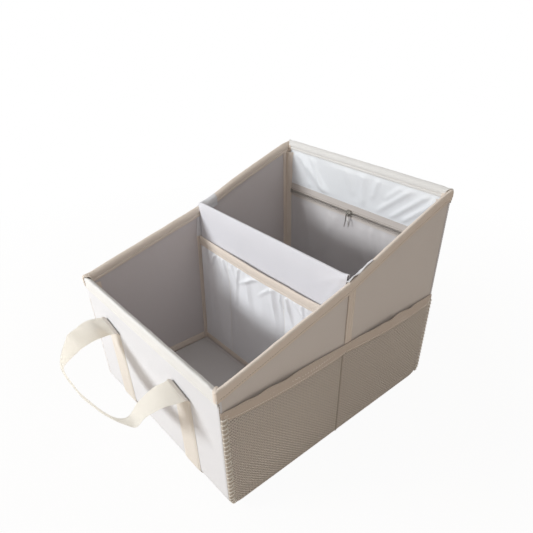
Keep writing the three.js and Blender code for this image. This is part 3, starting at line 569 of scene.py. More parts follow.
def rim_profile(leg, *more):
    leg = leg / MM
    return profile((0.75, -leg), (1.10, 0.8 - leg), (1.05, 1.9 - leg), (0.45, 2.7 - leg), (1.10, 3.7 - leg),
                   (1.42, 5.6 - leg), *more, (1.35, -4.6), (1.35, -2.4), (1.12, -0.6), (0.45, 0.7),
                   (-0.6, 1.15), (-1.8, 0.72), (-3.1, -0.1), (-4.4, -1.3), (-5.3, -3.0), (-5.6, -5.6),
                   (-5.0, -7.6), (-5.6, -8.6), (-5.5, -10.0), (-5.2, -11.0))


side_profile = rim_profile(SIDE_LEG)
end_profile = rim_profile(END_LEG, (1.2, -7.5))


def rim_wave(t, share, seed, swing):
    return swing * MM * (ripple(t, share * 40 * MM, 26 * MM, seed)
                         + 0.5 * ripple(t * 2, share * 30 * MM, 20 * MM, seed + 1))


def side_rim_point(side, t, station):
    out, rise = side_profile[station]
    share = station / len(side_profile)
    y = clamp(t, -1, 1) * (HALF_DEPTH + out)
    inside = ease((1 - abs(t)) * 14)
    wave = inside * rim_wave(y, share, 31 + side, 0.34)
    # Past its corner the tape turns round the end wall and folds into small pleats.
    round_corner = max(0.0, abs(t) - 1) * HALF_DEPTH
    over = fade(round_corner, 1.6 * MM)
    off_wall = clamp((out + 2.2 * MM) / (2.2 * MM), -1, 1)
    pleat = 0.38 * MM * math.sin(2 * math.pi * (rise + 0.5 * round_corner) / (2.3 * MM)) * over
    y += (1 if t > 0 else -1) * over * (0.95 * MM * off_wall + pleat)
    from_corner = (1 - abs(t)) * HALF_DEPTH
    if t > 0:
        # Behind the divider the rim bows up a little and rounds off towards the back corner.
        bow = (2.0 - 0.7 * side) * MM * math.sin(math.pi * min(1.0, t))
        peak = bow - 1.6 * MM * ease(1 - from_corner / (16 * MM))
    else:
        peak = 1.1 * MM * bell(from_corner, 5 * MM) * fade(rise + 4 * MM, 3 * MM)
    rise += inside * rim_wave(y, share, 41 + side, 0.30) + peak
    x = HALF_WIDTH + out + wave - round_corner
    return side * x, y, rim_at(clamp(y, -HALF_DEPTH, HALF_DEPTH)) + rise


def end_rim_point(end, t, station):
    out, rise = end_profile[station]
    share = station / len(end_profile)
    x = t * (HALF_WIDTH + out - 0.3 * MM)
    inside = ease((1 - abs(t)) * 14)
    out += inside * rim_wave(x, share, 51 + end, 0.34)
    rise += inside * rim_wave(x, share, 61 + end, 0.30)
    # The wall's corner pulls the tape down into a notch beside the turned end of the side tape.
    beside = HALF_WIDTH - abs(x) - CAP - 2.5 * MM
    rise -= (1.7 if end < 0 else 0.7) * MM * bell(beside, 3.4 * MM) * fade(rise + 5 * MM, 4 * MM)
    return x, end * (HALF_DEPTH + out), (FRONT_TOP if end < 0 else BACK_TOP) + rise


cap_turns = [CAP * i / 6 / HALF_DEPTH for i in range(1, 7)]
side_stations = ([-1 - turn for turn in reversed(cap_turns)] + spread(-1, -0.94, 8)
                 + spread(-0.94, 0.94, 130)[1:-1] + spread(0.94, 1, 8) + [1 + turn for turn in cap_turns])
for side, name in SIDES:
    piece = cloth_piece(f"{name}_rim", side_stations[::side], range(len(side_profile)),
                        lambda t, s: side_rim_point(side, t, s), RIM_PLY, TAPE_CLOTH)
    sewn(piece, "binding_tape", f"{name}_rim_binding", held="folded",
         flat=(SIDE_LEG + INNER_LEG + ROLLED, 2 * HALF_DEPTH + 14 * MM),
         rests_on=[f"{name}_front_panel", f"{name}_rear_panel"])
for end, name in ((-1, "front"), (1, "back")):
    piece = cloth_piece(f"{name}_rim", spread(-1, 1, 90)[::-end], range(len(end_profile)),
                        lambda t, s: end_rim_point(end, t, s), RIM_PLY, LIT_END_TAPE_CLOTH)
    sewn(piece, "binding_tape", f"{name}_rim_binding", flat=(END_LEG + INNER_LEG + ROLLED, 2 * HALF_WIDTH),
         held="folded", rests_on=["outer_strip", "lining_strip"])

# The tape over the centre seam outside, from the rim down to the mesh pocket.
for side, name in SIDES:
    node = f"{name}_seam_tape"
    low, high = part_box(node)
    near = min(abs(low.x), abs(high.x)) + 0.5 * MM

    def seam_tape_point(y, z):
        top = rim_at(y) - SIDE_LEG - 0.3 * MM
        share = (z - low.z) / (high.z - low.z)
        edge = (y - low.y) / (high.y - low.y)
        ridge = 0.25 * MM * math.cos(4 * math.pi * edge) + 0.2 * ripple(y, z, 12 * MM, 71) * MM
        sway = 0.35 * MM * ripple(z, 0, 30 * MM, 72)
        return side * (near + 0.1 * MM + ridge), y + sway, low.z + share * (top - low.z)

    piece = cloth_piece(f"{name}_centre_tape", spread(low.y, high.y, 10)[::side], spread(low.z, high.z, 40),
                        seam_tape_point, TAPE_PLY, TAPE_CLOTH)
    sewn(piece, "binding_tape", node, flat=(high.y - low.y, high.z - low.z), held="stretched",
         rests_on=[f"{name}_rear_panel"])

# Inside, a folded tape covers each corner seam and goes on along the floor seam of the side wall. One leg
# lies on the side wall and the other on the front or back wall.
CORNER_LEG = 13 * MM
END_CORNER_LEG = 12 * MM
tape_low, tape_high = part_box("right_front_corner_binding")
TAPE_X = tape_high.x - 0.5 * MM
TAPE_RADIUS = -tape_low.y - TURN_Y
TAPE_CENTRE = tape_low.z + TAPE_RADIUS


def tape_lift(across, run, ridge, ridge_at, ridge_half, roll_at, roll_half, seed):
    """How far a corner tape stands off, in millimetres: its stitched ridge, its rolled fold and a wave."""
    crest = ridge * bell(across - ridge_at * MM, ridge_half * MM)
    crest += 0.8 * bell(across - roll_at * MM, roll_half * MM) * fade(across, 2 * MM)
    return (crest + 0.4 * ripple(run * 1.5, across, 20 * MM, seed)) * MM


for side, end, corner in QUARTERS:
    node = f"{corner}_corner_binding"
    low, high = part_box(node)
    floor_run = (high.y if end < 0 else low.y) - end * TURN_Y
    wall = low.y + 0.1 * MM if end < 0 else high.y - 5.2 * MM
    seed = side + 3 * end

    def tape_top(y):
        return min(rim_at(y), FRONT_TOP if y < 0 else BACK_TOP) - INNER_LEG - 0.3 * MM

    def leg_point(into, t):
        """On the side wall: down the corner to t = 1, round the turn to t = 2, and along the floor."""
        radius = TAPE_RADIUS - into
        angle = QUARTER * clamp(t - 1)
        y = end * (TURN_Y + radius * math.cos(angle))
        z = TAPE_CENTRE - radius * math.sin(angle)
        run = -angle * 20 * MM
        if t <= 1:
            z = run = tape_top(y) + t * (TAPE_CENTRE - tape_top(y))
        elif t > 2:
            y += (t - 2) * floor_run
            run = -40 * MM - (t - 2) * abs(floor_run)
        lift = tape_lift(into, run, 0.45, 9.8, 1.6, 3.6, 2.2, 81 + seed)
        return side * (TAPE_X - max(-0.15 * MM, lift)), y, z

    def end_point(across, share):
        z = tape_top(wall) + share * (TAPE_CENTRE + 0.3 * MM - tape_top(wall))
        lift = tape_lift(across, z, 0.4, 8.3, 1.4, 3.4, 2.0, 91 + seed)
        # At the back it reaches in to the zipped pocket's cloth, which slopes away towards the rim.
        reach = ease(end * (z - 228 * MM) / (45 * MM)) * fade(across - 5.5 * MM, 6 * MM) * 4.6 * MM
        return side * (TAPE_X + 0.4 * MM - across), wall - end * (0.5 * MM + max(0.0, lift)) + reach, z

    stations = spread(0, 1, 46) + spread(1, 2, 8)[1:] + spread(2, 3, 36)[1:]
    legs = (cloth_mesh(spread(0, CORNER_LEG, 10), stations, leg_point, TAPE_PLY),
            cloth_mesh(spread(0, END_CORNER_LEG, 9), spread(0, 1, 46), end_point, TAPE_PLY))
    points, faces, uv = [], [], []
    for some, their_faces, their_uv in legs:
        faces += [tuple(i + len(points) for i in face) for face in their_faces]
        points += some
        uv += their_uv
    piece = new_piece(f"{corner}_corner_tape", points, faces, TAPE_CLOTH, uv)
    run = high.z - TAPE_CENTRE + 20 * MM + abs(floor_run)
    sewn(piece, "binding_tape", node, flat=(CORNER_LEG + END_CORNER_LEG, run), held="folded",
         area=CORNER_LEG * run + END_CORNER_LEG * (high.z - TAPE_CENTRE),
         rests_on=["lining_strip", f"{corner}_inner_panel"])


# Divider
# A board in a folded piece of the outer cloth, leaning back a little. Its cloth is pulled over the top,
# creased where it turns to the side walls, and its ends are sewn down along the side rims as tabs.
DIVIDER_CLOTH = woven("divider_cloth", srgb(223, 223, 229), 0.55 * MM, 0.10 * MM, 0.66, sheen=0.10)
DIVIDER_FOOT = Vector((0, -7 * MM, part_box("divider_board")[0].z))
DIVIDER_LEAN = math.radians(2.3)
DIVIDER_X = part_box("divider_cover")[1].x
DIVIDER_HALF = 2.3 * MM
DIVIDER_HEIGHT = 237 * MM
# Creases fan out from the two upper corners, where the cloth is pulled to the side walls. Each has its
# corner and its slope in radians.
CREASES = ((-1, 0.30), (-1, 0.62), (1, 0.55), (1, 1.0))


def leaned(x, y, z):
    """A point given from the divider's foot and its middle plane, in the row frame."""
    return Vector((x, DIVIDER_FOOT.y + y * math.cos(DIVIDER_LEAN) + z * math.sin(DIVIDER_LEAN),
                   DIVIDER_FOOT.z - y * math.sin(DIVIDER_LEAN) + z * math.cos(DIVIDER_LEAN)))


cover_radius = DIVIDER_HALF - CLOTH / 2
cover_top = DIVIDER_HEIGHT - DIVIDER_HALF
cover_front = [(-cover_radius, z) for z in spread(0, cover_top, 70)]
cover_route = (cover_front + [(-cover_radius * math.cos(a), cover_top + cover_radius * math.sin(a))
                              for a in spread(0, math.pi, 10)[1:]]
               + [(cover_radius, z) for z in spread(cover_top, 0, 40)[1:]])


def cover_point(x, station):
    y, z = cover_route[station]
    facing = -1 if station < len(cover_front) else 1
    drop = DIVIDER_HEIGHT - z
    free = fade(DIVIDER_X - abs(x), 12 * MM) * fade(drop, 18 * MM) * fade(z, 30 * MM)
    swell = free * (0.9 * MM + 0.55 * MM * ripple(x, z, 60 * MM, 101 + facing))
    for corner, slope in CREASES:
        run = (corner * DIVIDER_X - x) * corner
        off_line = run * math.cos(slope) - drop * math.sin(slope)
        clear = fade(drop, 6 * MM) * fade(run, 5 * MM)
        swell += 1.9 * MM * math.exp(-(run + drop) / (40 * MM)) * clear * bell(off_line, 2.8 * MM)
    sag = 0.5 * MM * ripple(x, 0, 90 * MM, 103)
    # The ends are drawn out and up to the tabs.
    drawn = fade(abs(x) - DIVIDER_X + 10 * MM, 10 * MM) * fade(z - 216 * MM, 20 * MM)
    x += math.copysign(1.7 * MM * drawn, x)
    rise = (1.6 if x > 0 else -1.0) * MM * drawn * drawn
    return leaned(x, y + facing * max(0.0, swell), z + sag * ease(z / cover_top) + rise)


cover = cloth_piece("divider_cloth", spread(-DIVIDER_X, DIVIDER_X, 96), range(len(cover_route)), cover_point,
                    CLOTH, DIVIDER_CLOTH)
sewn(cover, "outer_cloth", "divider_cover", flat=(2 * DIVIDER_X, 2 * DIVIDER_HEIGHT), held="folded",
     rests_on=["divider_board"])

# Each tab turns back from the divider's end, lies on the side rim's inside and is folded over its top.
tab_fold = profile((-6.45, -13.2), (-6.75, -11.5), (-6.5, -9.0), (-6.7, -6.0), (-6.5, -3.6), (-5.9, -1.7),
                   (-4.6, 0.0), (-2.9, 1.15), (-1.0, 1.85), (0.6, 1.45), (1.6, 0.3))
for side, name in SIDES:
    node = f"{name}_divider_tab"
    low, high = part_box(node)
    start = low.y - 4.5 * MM
    stations = spread(start, start + 5 * MM, 8) + spread(start + 5 * MM, high.y, 30)[1:]

    def tab_point(y, station):
        out, rise = tab_fold[station]
        inner = fade(-out - 2 * MM, 3 * MM)
        turn = 1 - fade(y - start, 5 * MM)
        end_fold = 0.45 * MM * bell(y - high.y + 2.6 * MM, 1.4 * MM)
        puff = (0.3 * MM * ripple(y, rise, 9 * MM, 105) + end_fold) * inner
        curl = 1.4 * MM * bell(y - start - 7 * MM, 5 * MM) * (1 - inner)
        curl += (1 + side) * 0.9 * MM * (1 - inner) * (0.6 + ripple(y, 0, 12 * MM, 107))
        x = HALF_WIDTH + out - puff - 3.6 * MM * turn * turn * inner - 0.4 * MM * turn
        return side * x, y, rim_at(y) + rise + 0.6 * MM + curl - 0.8 * MM * turn

    folded = len(tab_fold) - (5 if side > 0 else 0)
    piece = cloth_piece(f"{name}_tab", stations[::-side], range(folded), tab_point, TAPE_PLY, OUTER)
    sewn(piece, "outer_cloth", node, flat=(21 * MM, high.y - start), held="folded", rests_on=[f"{name}_rim"])

# The bound seam down each end of the divider's front, and the strip of cloth that it turns into above.
END_TAPE = 7.5 * MM
END_TAPE_TOP = 186 * MM
strip_top = rim_at(0) - DIVIDER_FOOT.z - INNER_LEG - 1 * MM
strip_height = strip_top - END_TAPE_TOP
for side, name in SIDES:
    def by_the_wall(into, z, lift):
        return leaned(side * (TAPE_X - max(-0.1 * MM, lift)), -DIVIDER_HALF - 0.3 * MM - into, z)

    def seam_point(into, z):
        ridge = 0.35 * MM * math.cos(2 * math.pi * into / END_TAPE)
        return by_the_wall(into, z, ridge + 0.25 * MM * ripple(z, into, 14 * MM, 111 + side))

    def strip_end_point(into, z):
        narrow = 1 - 0.35 * ease((z - END_TAPE_TOP) / strip_height)
        lift = 0.3 + 0.5 * math.sin(math.pi * into / END_TAPE) + 0.3 * ripple(z, into, 18 * MM, 121 + side)
        return by_the_wall(into * narrow, z, lift * MM)

    beside = [f"{name}_front_inner_panel", "divider_cloth"]
    columns = spread(0, END_TAPE, 8)[::side]
    piece = cloth_piece(f"{name}_divider_seam", columns, spread(0, END_TAPE_TOP, 60), seam_point, TAPE_PLY,
                        TAPE_CLOTH)
    sewn(piece, "binding_tape", f"{name}_divider_end_binding", flat=(END_TAPE * 1.5, END_TAPE_TOP),
         held="folded", area=END_TAPE * END_TAPE_TOP, rests_on=beside)
    piece = cloth_piece(f"{name}_divider_strip", columns, spread(END_TAPE_TOP + 0.4 * MM, strip_top, 20),
                        strip_end_point, TAPE_PLY, OUTER)
    sewn(piece, "outer_cloth", flat=(10 * MM, strip_height), area=6.2 * MM * strip_height, held="folded",
         rests_on=beside)


# Divider pocket
# A thin, shiny coated cloth, cut wider than the divider and gathered under the binding of its mouth, so it
# falls in folds. Two rows of stitches part it into three pockets, and a binding holds it at the foot.
THIN_SHARP = 70            # thin cloth has no sharp edges below this angle
POCKET_X = DIVIDER_X - 0.3 * MM
POCKET_TOP = 186 * MM
POCKET_BAND = 13 * MM
POCKET_FOOT = 10 * MM
POCKET_STOPS = [-POCKET_X, -72 * MM, 50 * MM, POCKET_X]
POCKET_SWELL = 7.5 * MM
POCKET_BACK = DIVIDER_HALF + 0.2 * MM
BAND_PLY = 0.85 * MM
GATHERED = 1.12            # how much wider than its mouth the pocket was cut
# Folds: where one starts under the binding, where it ends, its half width and its height, in millimetres.
FOLDS = [
    (-133, 172, -138, 128, 3.0, 3.0), (-118, 172, -116, 140, 3.0, 2.0), (-102, 173, -121, 134, 2.8, 3.0),
    (-93, 172, -84, 138, 2.6, 2.2), (-83, 172, -68, 138, 2.4, 2.2), (-74, 172, -56, 142, 2.2, 2.0),
    (-62, 172, -52, 138, 2.6, 1.8), (-44, 173, -50, 140, 3.4, 2.6), (-48, 150, -62, 84, 5.0, 2.0),
    (-4, 174, -46, 148, 3.6, 2.3), (-24, 160, -14, 112, 6.0, 2.0), (27, 172, -2, 148, 3.6, 1.5),
    (29, 172, 37, 112, 5.0, 2.6), (44, 172, 47, 140, 2.6, 1.8), (57, 173, 76, 122, 2.6, 3.2),
    (71, 172, 92, 150, 2.4, 2.2), (84, 172, 92, 140, 2.6, 1.8), (92, 172, 108, 152, 2.4, 2.2),
    (106, 172, 112, 136, 3.0, 2.0), (120, 172, 128, 132, 3.4, 2.0),
]


def thin_cloth(name, colour):
    return woven(name, colour, 0.40 * MM, 0.05 * MM, 0.42, sheen=0.05, specular=0.45)


THIN_CLOTH = thin_cloth("thin_cloth", srgb(238, 239, 243))


def pocket_bay(x):
    """How far across its own pocket a place is, from 0 to 1, and how wide that pocket is."""
    b = sum(x > stop for stop in POCKET_STOPS[1:3])
    width = POCKET_STOPS[b + 1] - POCKET_STOPS[b]
    return clamp((x - POCKET_STOPS[b]) / width), width


def pocket_swell(x, z):
    """How far the pocket's back stands off the divider, without its folds."""
    share = pocket_bay(x)[0]
    rise = clamp((z - POCKET_FOOT - 3 * MM) / (POCKET_TOP - POCKET_FOOT - 3 * MM))
    bay = math.sin(math.pi * share)
    low = max(0.0, bay) ** 0.8 * (1 + 0.1 * math.cos(6 * math.pi * share)) * rise ** 0.6
    # The binding bridges the rows of stitches, so the mouth bows nearly straight from wall to wall.
    ends = math.cos(QUARTER * x / POCKET_X)
    mouth = max(0.0, ends) ** 0.8 * (0.66 + 0.10 * x / POCKET_X + 0.10 * bay)
    return POCKET_SWELL * (low + (mouth - low) * fade(z - 118 * MM, 50 * MM))


def by_line(x, z, line):
    """How far along a line a place lies, 0 to 1, and how far off it, in millimetres."""
    x0, z0, x1, z1 = line
    run_x, run_z = x1 - x0, z1 - z0
    length = math.hypot(run_x, run_z)
    x, z = x / MM - x0, z / MM - z0
    return (x * run_x + z * run_z) / length ** 2, (z * run_x - x * run_z) / length


def folds_at(x, z):
    """How far the folds lift the cloth at a place, each steep on its left and long on its right."""
    total = 0.0
    for *line, half, high in FOLDS:
        along, across = by_line(x, z, line)
        if -0.25 < along < 1.1 and abs(across) < 4 * half:
            fade = ease((along + 0.25) / 0.25) * (1 - ease((along - 0.15) / 0.95)) ** 0.8
            total += high * fade * bell(across, half if across > 0 else 0.45 * half)
    return total * MM


def pocket_point(x, z):
    share, width = pocket_bay(x)
    near_seam = ease(min(share, 1 - share) * width / (5 * MM))
    rise = clamp((z - POCKET_FOOT) / (POCKET_TOP - POCKET_FOOT))
    under_band = fade(POCKET_TOP - POCKET_BAND + 1 * MM - z, 3 * MM)
    slack = 1.3 * MM * ripple(x * 1.7, z * 0.55, 24 * MM, 131) * ease(rise * 1.6)
    slack += 0.8 * MM * ripple(x * 1.2 + z * 0.5, z * 0.8, 46 * MM, 133) * ease(rise * 2)
    lift = max(-0.15 * MM, near_seam * (0.3 * MM + folds_at(x, z) * 1.35 + slack)) * under_band
    return leaned(x, -(POCKET_BACK + 1.55 * MM + pocket_swell(x, z) + lift), z)


pocket_columns = sorted({x for a, b, steps in zip(POCKET_STOPS, POCKET_STOPS[1:], (62, 100, 80))
                         for x in spread(a, b, steps)})
pocket = cloth_piece("gathered_pocket", pocket_columns, spread(0.3 * MM, POCKET_TOP - 1.4 * MM, 130),
                     pocket_point, 0.55 * MM, THIN_CLOTH, THIN_SHARP)
sewn(pocket, "pocket_cloth", "divider_pocket", flat=(2 * POCKET_X * GATHERED, POCKET_TOP), held="gathered",
     rests_on=["divider_cloth"])

# The mouth's binding is one tape folded over the edge of the pocket.
band_route = profile((3.02, 173.3), (3.25, 174.4), (3.12, 175.6), (3.0, 176.4), (3.35, 178.0),
                     (3.5, 180.5), (3.4, 183.2), (2.7, 185.2), (1.7, 185.75), (0.75, 185.2), (0.45, 183.0),
                     (0.5, 178.0), (0.5, 173.3))


def band_point(x, station):
    out, z = band_route[station]
    pulled = 0.28 * MM * ripple(x, 0, 11 * MM, 141) * fade(out - 1.5 * MM, 1.5 * MM)
    dip = 0.7 * MM * ripple(x, 0, 60 * MM, 143)
    return leaned(x, -(POCKET_BACK + pocket_swell(x, z) + out + pulled), z + dip)


def foot_point(x, z):
    ridge = 0.35 * MM * math.cos(4 * math.pi * z / POCKET_FOOT) + 0.2 * MM * ripple(x, z, 13 * MM, 151)
    return leaned(x, -(POCKET_BACK + 2.7 * MM + ridge), z + 0.3 * MM * ripple(x, 0, 40 * MM, 152))


band = cloth_piece("pocket_band", pocket_columns[::2], range(len(band_route)), band_point, BAND_PLY,
                   TAPE_CLOTH)
sewn(band, "binding_tape", "divider_pocket_binding", flat=(2 * POCKET_BAND + 3 * MM, 2 * POCKET_X * 1.04),
     held="folded", rests_on=["gathered_pocket"])
foot_band = cloth_piece("pocket_foot_band", spread(-POCKET_X, POCKET_X, 90),
                        spread(0.6 * MM, POCKET_FOOT, 10), foot_point, TAPE_PLY, TAPE_CLOTH)
sewn(foot_band, "binding_tape", "divider_foot_binding", flat=(POCKET_FOOT, 2 * POCKET_X), held="stretched",
     rests_on=["gathered_pocket"])


# Zipped pocket
# The same thin cloth over the back lining, in two parts with a zip between them. The upper part is caught
# under the rim binding and pulls into slanting wrinkles towards its right end.
UPPER_CLOTH = thin_cloth("zip_upper_cloth", srgb(227, 230, 234))
# The cloth below the zip is a darker copy of the same thin cloth: painted shade for the shade that falls low
# in the back compartment.
SHADED_LOWER_CLOTH = thin_cloth("zip_pocket_cloth_painted_shade", srgb(203, 200, 201))
ZIP_Z = (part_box("zip_upper_tape")[0].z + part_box("zip_lower_tape")[1].z) / 2
ZIP_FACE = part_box("zip_pocket_lower")[0].y
ZIP_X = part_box("zip_pocket_lower")[1].x
ZIP_LEAN = 3.8 * MM        # how far the cloth slopes back to the rim above, and to the floor below
ZIP_BEND = ZIP_Z + 13 * MM
# Wrinkles: from where to where, half width and height, in millimetres.
WRINKLES = [
    (-124, 284, -54, 238, 6.5, 2.4), (-92, 284, -64, 242, 4.0, 1.7), (-106, 272, -92, 240, 3.5, 1.2),
    (12, 286, 18, 244, 6.0, 1.6), (-20, 286, -2, 252, 6.0, 1.0), (40, 286, 34, 256, 5.0, 1.2),
    (98, 284, 50, 244, 4.0, 1.8), (124, 284, 72, 240, 3.6, 1.9), (134, 276, 92, 240, 3.2, 1.7),
    (136, 262, 110, 238, 3.0, 1.5), (84, 286, 58, 262, 4.0, 1.2), (134, 286, 122, 262, 3.0, 1.2),
]
LOWER_WRINKLES = [
    (-46, 212, -42, 182, 4, 1.5), (38, 212, 50, 176, 4, 1.6), (62, 212, 76, 178, 4, 1.8),
    (84, 212, 90, 176, 3.5, 1.6), (104, 212, 110, 170, 4, 1.6), (20, 208, 44, 120, 9, 1.6),
    (-30, 210, -60, 140, 8, 1.3), (96, 210, 70, 130, 8, 1.4), (-100, 206, -84, 130, 8, 1.2),
    (124, 200, 132, 120, 5, 1.0), (-128, 190, -134, 90, 5, 1.0), (0, 110, 30, 40, 8, 1.0),
    (-70, 120, -40, 50, 9, 1.0),
]


def wrinkle_at(x, z, lines):
    """As folds_at, but even on both sides and fading at both ends."""
    total = 0.0
    for *line, half, high in lines:
        along, across = by_line(x, z, line)
        if -0.2 < along < 1.2 and abs(across) < 3 * half:
            total += high * ease((along + 0.2) * 3) * ease((1.2 - along) * 3) * bell(across, half)
    return total * MM


def upper_form(x, z, low, high):
    """The cloth's slope, how free it is, and how it stands off, above the zip."""
    free = fade(z - ZIP_BEND + 2 * MM, 10 * MM) * fade(high.z - z, 8 * MM)
    free *= fade(ZIP_X - abs(x), 8 * MM)
    lift = 0.5 * MM + wrinkle_at(x, z, WRINKLES) + 0.7 * MM * ripple(x, z, 34 * MM, 161)
    return (z - ZIP_BEND) / (high.z - ZIP_BEND), free, lift


def lower_form(x, z, low, high):
    """The same, below the zip."""
    free = fade(high.z - z, 14 * MM) * fade(z - low.z, 12 * MM)
    free *= fade(ZIP_X - abs(x), 14 * MM)
    lift = 0.8 * MM + wrinkle_at(x, z, LOWER_WRINKLES) + 1.0 * MM * ripple(x, z, 60 * MM, 163)
    return (low.z + CORNER - z) / CORNER, free, lift


for name, form, finish, columns, rows in (("upper", upper_form, UPPER_CLOTH, 190, 40),
                                          ("lower", lower_form, SHADED_LOWER_CLOTH, 130, 90)):
    low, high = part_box(f"zip_pocket_{name}")

    def zip_cloth_point(x, share):
        z = low.z + share * (high.z - low.z)
        slope, free, lift = form(x, z, low, high)
        return x, ZIP_FACE + 0.4 * MM + clamp(slope) * ZIP_LEAN - free * max(0.0, lift), z

    piece = cloth_piece(f"zip_cloth_{name}", spread(-ZIP_X, ZIP_X, columns), spread(0, 1, rows),
                        zip_cloth_point, 0.6 * MM, finish, THIN_SHARP)
    sewn(piece, "pocket_cloth", f"zip_pocket_{name}", flat=(2 * ZIP_X, high.z - low.z), held="stretched",
         rests_on=["lining_strip"])

# Zip tapes, woven in a herringbone and sewn to the cloth above and below.
ZIP_CLOTH = woven("zip_tape", srgb(204, 197, 192), 0.60 * MM, 0.10 * MM, 0.78, sheen=0.10, tilt=0.6)
for name in ("upper", "lower"):
    node = f"zip_{name}_tape"
    low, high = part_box(node)
    wide, tall = high.x - low.x, high.z - low.z

    def zip_tape_point(x, z):
        edge = clamp(abs(z - ZIP_Z) / tall)
        wave = 0.22 * MM * ripple(x, z, 22 * MM, 165) * edge
        groove = -0.12 * MM * bell(edge - 0.72, 0.05)
        return x, (low.y + high.y) / 2 - max(-0.15 * MM, wave + groove), z

    piece = cloth_piece(f"zip_tape_{name}", spread(low.x, high.x, 130), spread(low.z, high.z, 14),
                        zip_tape_point, 0.5 * MM, ZIP_CLOTH)
    sewn(piece, "zip_tape", node, flat=(wide, max(10.1 * MM, tall)), area=wide * max(7.2 * MM, tall),
         held="stretched", rests_on=[f"zip_cloth_{name}"])


# Teeth: a nylon coil on each tape. Each turn shows as a short rounded bar that ends near the zip's middle.
NYLON = speckled("zip_nylon", srgb(196, 190, 184), 900, 4, 0.85, 0.03 * MM, 0.38, swing=0.2)
COIL_PITCH = 1.5 * MM
TURN_WIDTH = 1.15 * MM


def geometry_tree(name, **sizes):
    """An empty Geometry Nodes tree, its way in and its way out. Sizes and the finish are named inputs."""
    tree = bpy.data.node_groups.new(name, "GeometryNodeTree")
    for way in ("INPUT", "OUTPUT"):
        tree.interface.new_socket("Geometry", in_out=way, socket_type="NodeSocketGeometry")
    for label, value in sizes.items():
        kind = "NodeSocketInt" if isinstance(value, int) else "NodeSocketFloat"
        tree.interface.new_socket(label, in_out="INPUT", socket_type=kind).default_value = value
    tree.interface.new_socket("Finish", in_out="INPUT", socket_type="NodeSocketMaterial")
    return tree, add(tree, "NodeGroupInput").outputs, add(tree, "NodeGroupOutput")


def close_tree(tree, geometry, way_in, way_out):
    """Realize the instances, set the material named as an input, and end the tree."""
    real = add(tree, "GeometryNodeRealizeInstances", Geometry=geometry)
    painted = add(tree, "GeometryNodeSetMaterial", Geometry=real.outputs[0], Material=way_in["Finish"])
    feed(tree, way_out.inputs[0], painted.outputs[0])
    return tree


def grown(name, points, edges, tree, **values):
    """Run a Geometry Nodes tree on points and edges, and keep what it makes as a plain mesh."""
    seed_mesh = bpy.data.meshes.new(name + "_seed")
    seed_mesh.from_pydata([tuple(p) for p in points], edges, [])
    seed = placed(name + "_seed", seed_mesh)
    modifier = seed.modifiers.new("grow", "NODES")
    modifier.node_group = tree
    for item in tree.interface.items_tree:
        if item.in_out == "INPUT" and item.name in values:
            modifier[item.identifier] = values[item.name]
    bpy.context.view_layer.update()
    evaluated = seed.evaluated_get(bpy.context.evaluated_depsgraph_get())
    mesh = bpy.data.meshes.new_from_object(evaluated)
    mesh.name = name
    bpy.data.objects.remove(seed)
    return placed(name, mesh)


def bar_tree():
    """A small rounded bar at every point, its length along Z."""
    tree, way_in, way_out = geometry_tree("bars", Length=0.002, Width=0.001, Depth=0.001)
    ball = add(tree, "GeometryNodeMeshUVSphere", Segments=8, Rings=6, Radius=0.5)
    size = add(tree, "ShaderNodeCombineXYZ", X=way_in["Width"], Y=way_in["Depth"], Z=way_in["Length"])
    dots = add(tree, "GeometryNodeInstanceOnPoints", Points=way_in["Geometry"],
               Instance=ball.outputs["Mesh"], Scale=size.outputs[0])
    return close_tree(tree, dots.outputs[0], way_in, way_out)


BARS = bar_tree()
for name, shift in (("upper", 0.0), ("lower", 0.5)):
    node = f"zip_{name}_teeth"
    low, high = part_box(node)
    dots = [(low.x + (i + 0.6 + shift) * COIL_PITCH, (low.y + high.y) / 2, (low.z + high.z) / 2)
            for i in range(int((high.x - low.x) / COIL_PITCH) - 1)]
    coil = grown(f"zip_coil_{name}", dots, [], BARS, Length=high.z - low.z + 0.1 * MM, Width=TURN_WIDTH,
                 Depth=high.y - low.y, Finish=NYLON)
    sewn(coil, "zip_teeth", node)

# Slider, its wire pull and the end stops are cast and drawn metal, plated and a little worn.
STEEL = speckled("zip_metal", srgb(188, 184, 177), 380, 5, 0.7, 0.04 * MM, 0.42, swing=0.25, metallic=1.0)
for node, rounding in (("zip_slider", 0.22), ("zip_pull", 0.0), ("zip_left_stop", 0.3),
                       ("zip_right_stop", 0.3)):
    finish_node(node, STEEL)
    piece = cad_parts[node]
    if rounding:
        bevel = piece.modifiers.new("rounded", "BEVEL")
        bevel.width = rounding * MM
        bevel.segments = 2
        bevel.limit_method = "ANGLE"
        bevel.angle_limit = math.radians(40)
    else:
        plated = piece.modifiers.new("plating", "DISPLACE")
        plated.strength = 0.28 * MM
        plated.mid_level = 0
        piece.data.shade_smooth()


# Mesh pockets
# A knitted net on each outer side. Its yarns zigzag and meet at knots, and leave small diamond holes. It is
# sewn down at its ends, at the centre seam and along its foot, and swells a little towards its mouth.
YARN = woven("mesh_yarn", srgb(242, 234, 224), 0.25 * MM, 0.05 * MM, 0.62, sheen=0.15)
NET_STEP = 2.25 * MM       # from knot to knot, across and up
NET_YARN = 0.62 * MM
NET_MARGIN = 4 * MM
MESH_TOPS = (157 * MM, 150 * MM, 147 * MM)   # the mouth's height at the front, middle and back
MESH_IN = 1 * MM           # how far the net stays inside the wall's outline
MESH_HALF = HALF_DEPTH - MESH_IN
MESH_SWELL = 5.5 * MM
NET_OFF = HALF_WIDTH + 1.7 * MM
SEAM_Y = -4.6 * MM         # where the net is sewn down along the middle of the wall


def mesh_top(y):
    end_top = MESH_TOPS[0] if y < 0 else MESH_TOPS[2]
    return MESH_TOPS[1] + (end_top - MESH_TOPS[1]) * abs(y) / HALF_DEPTH


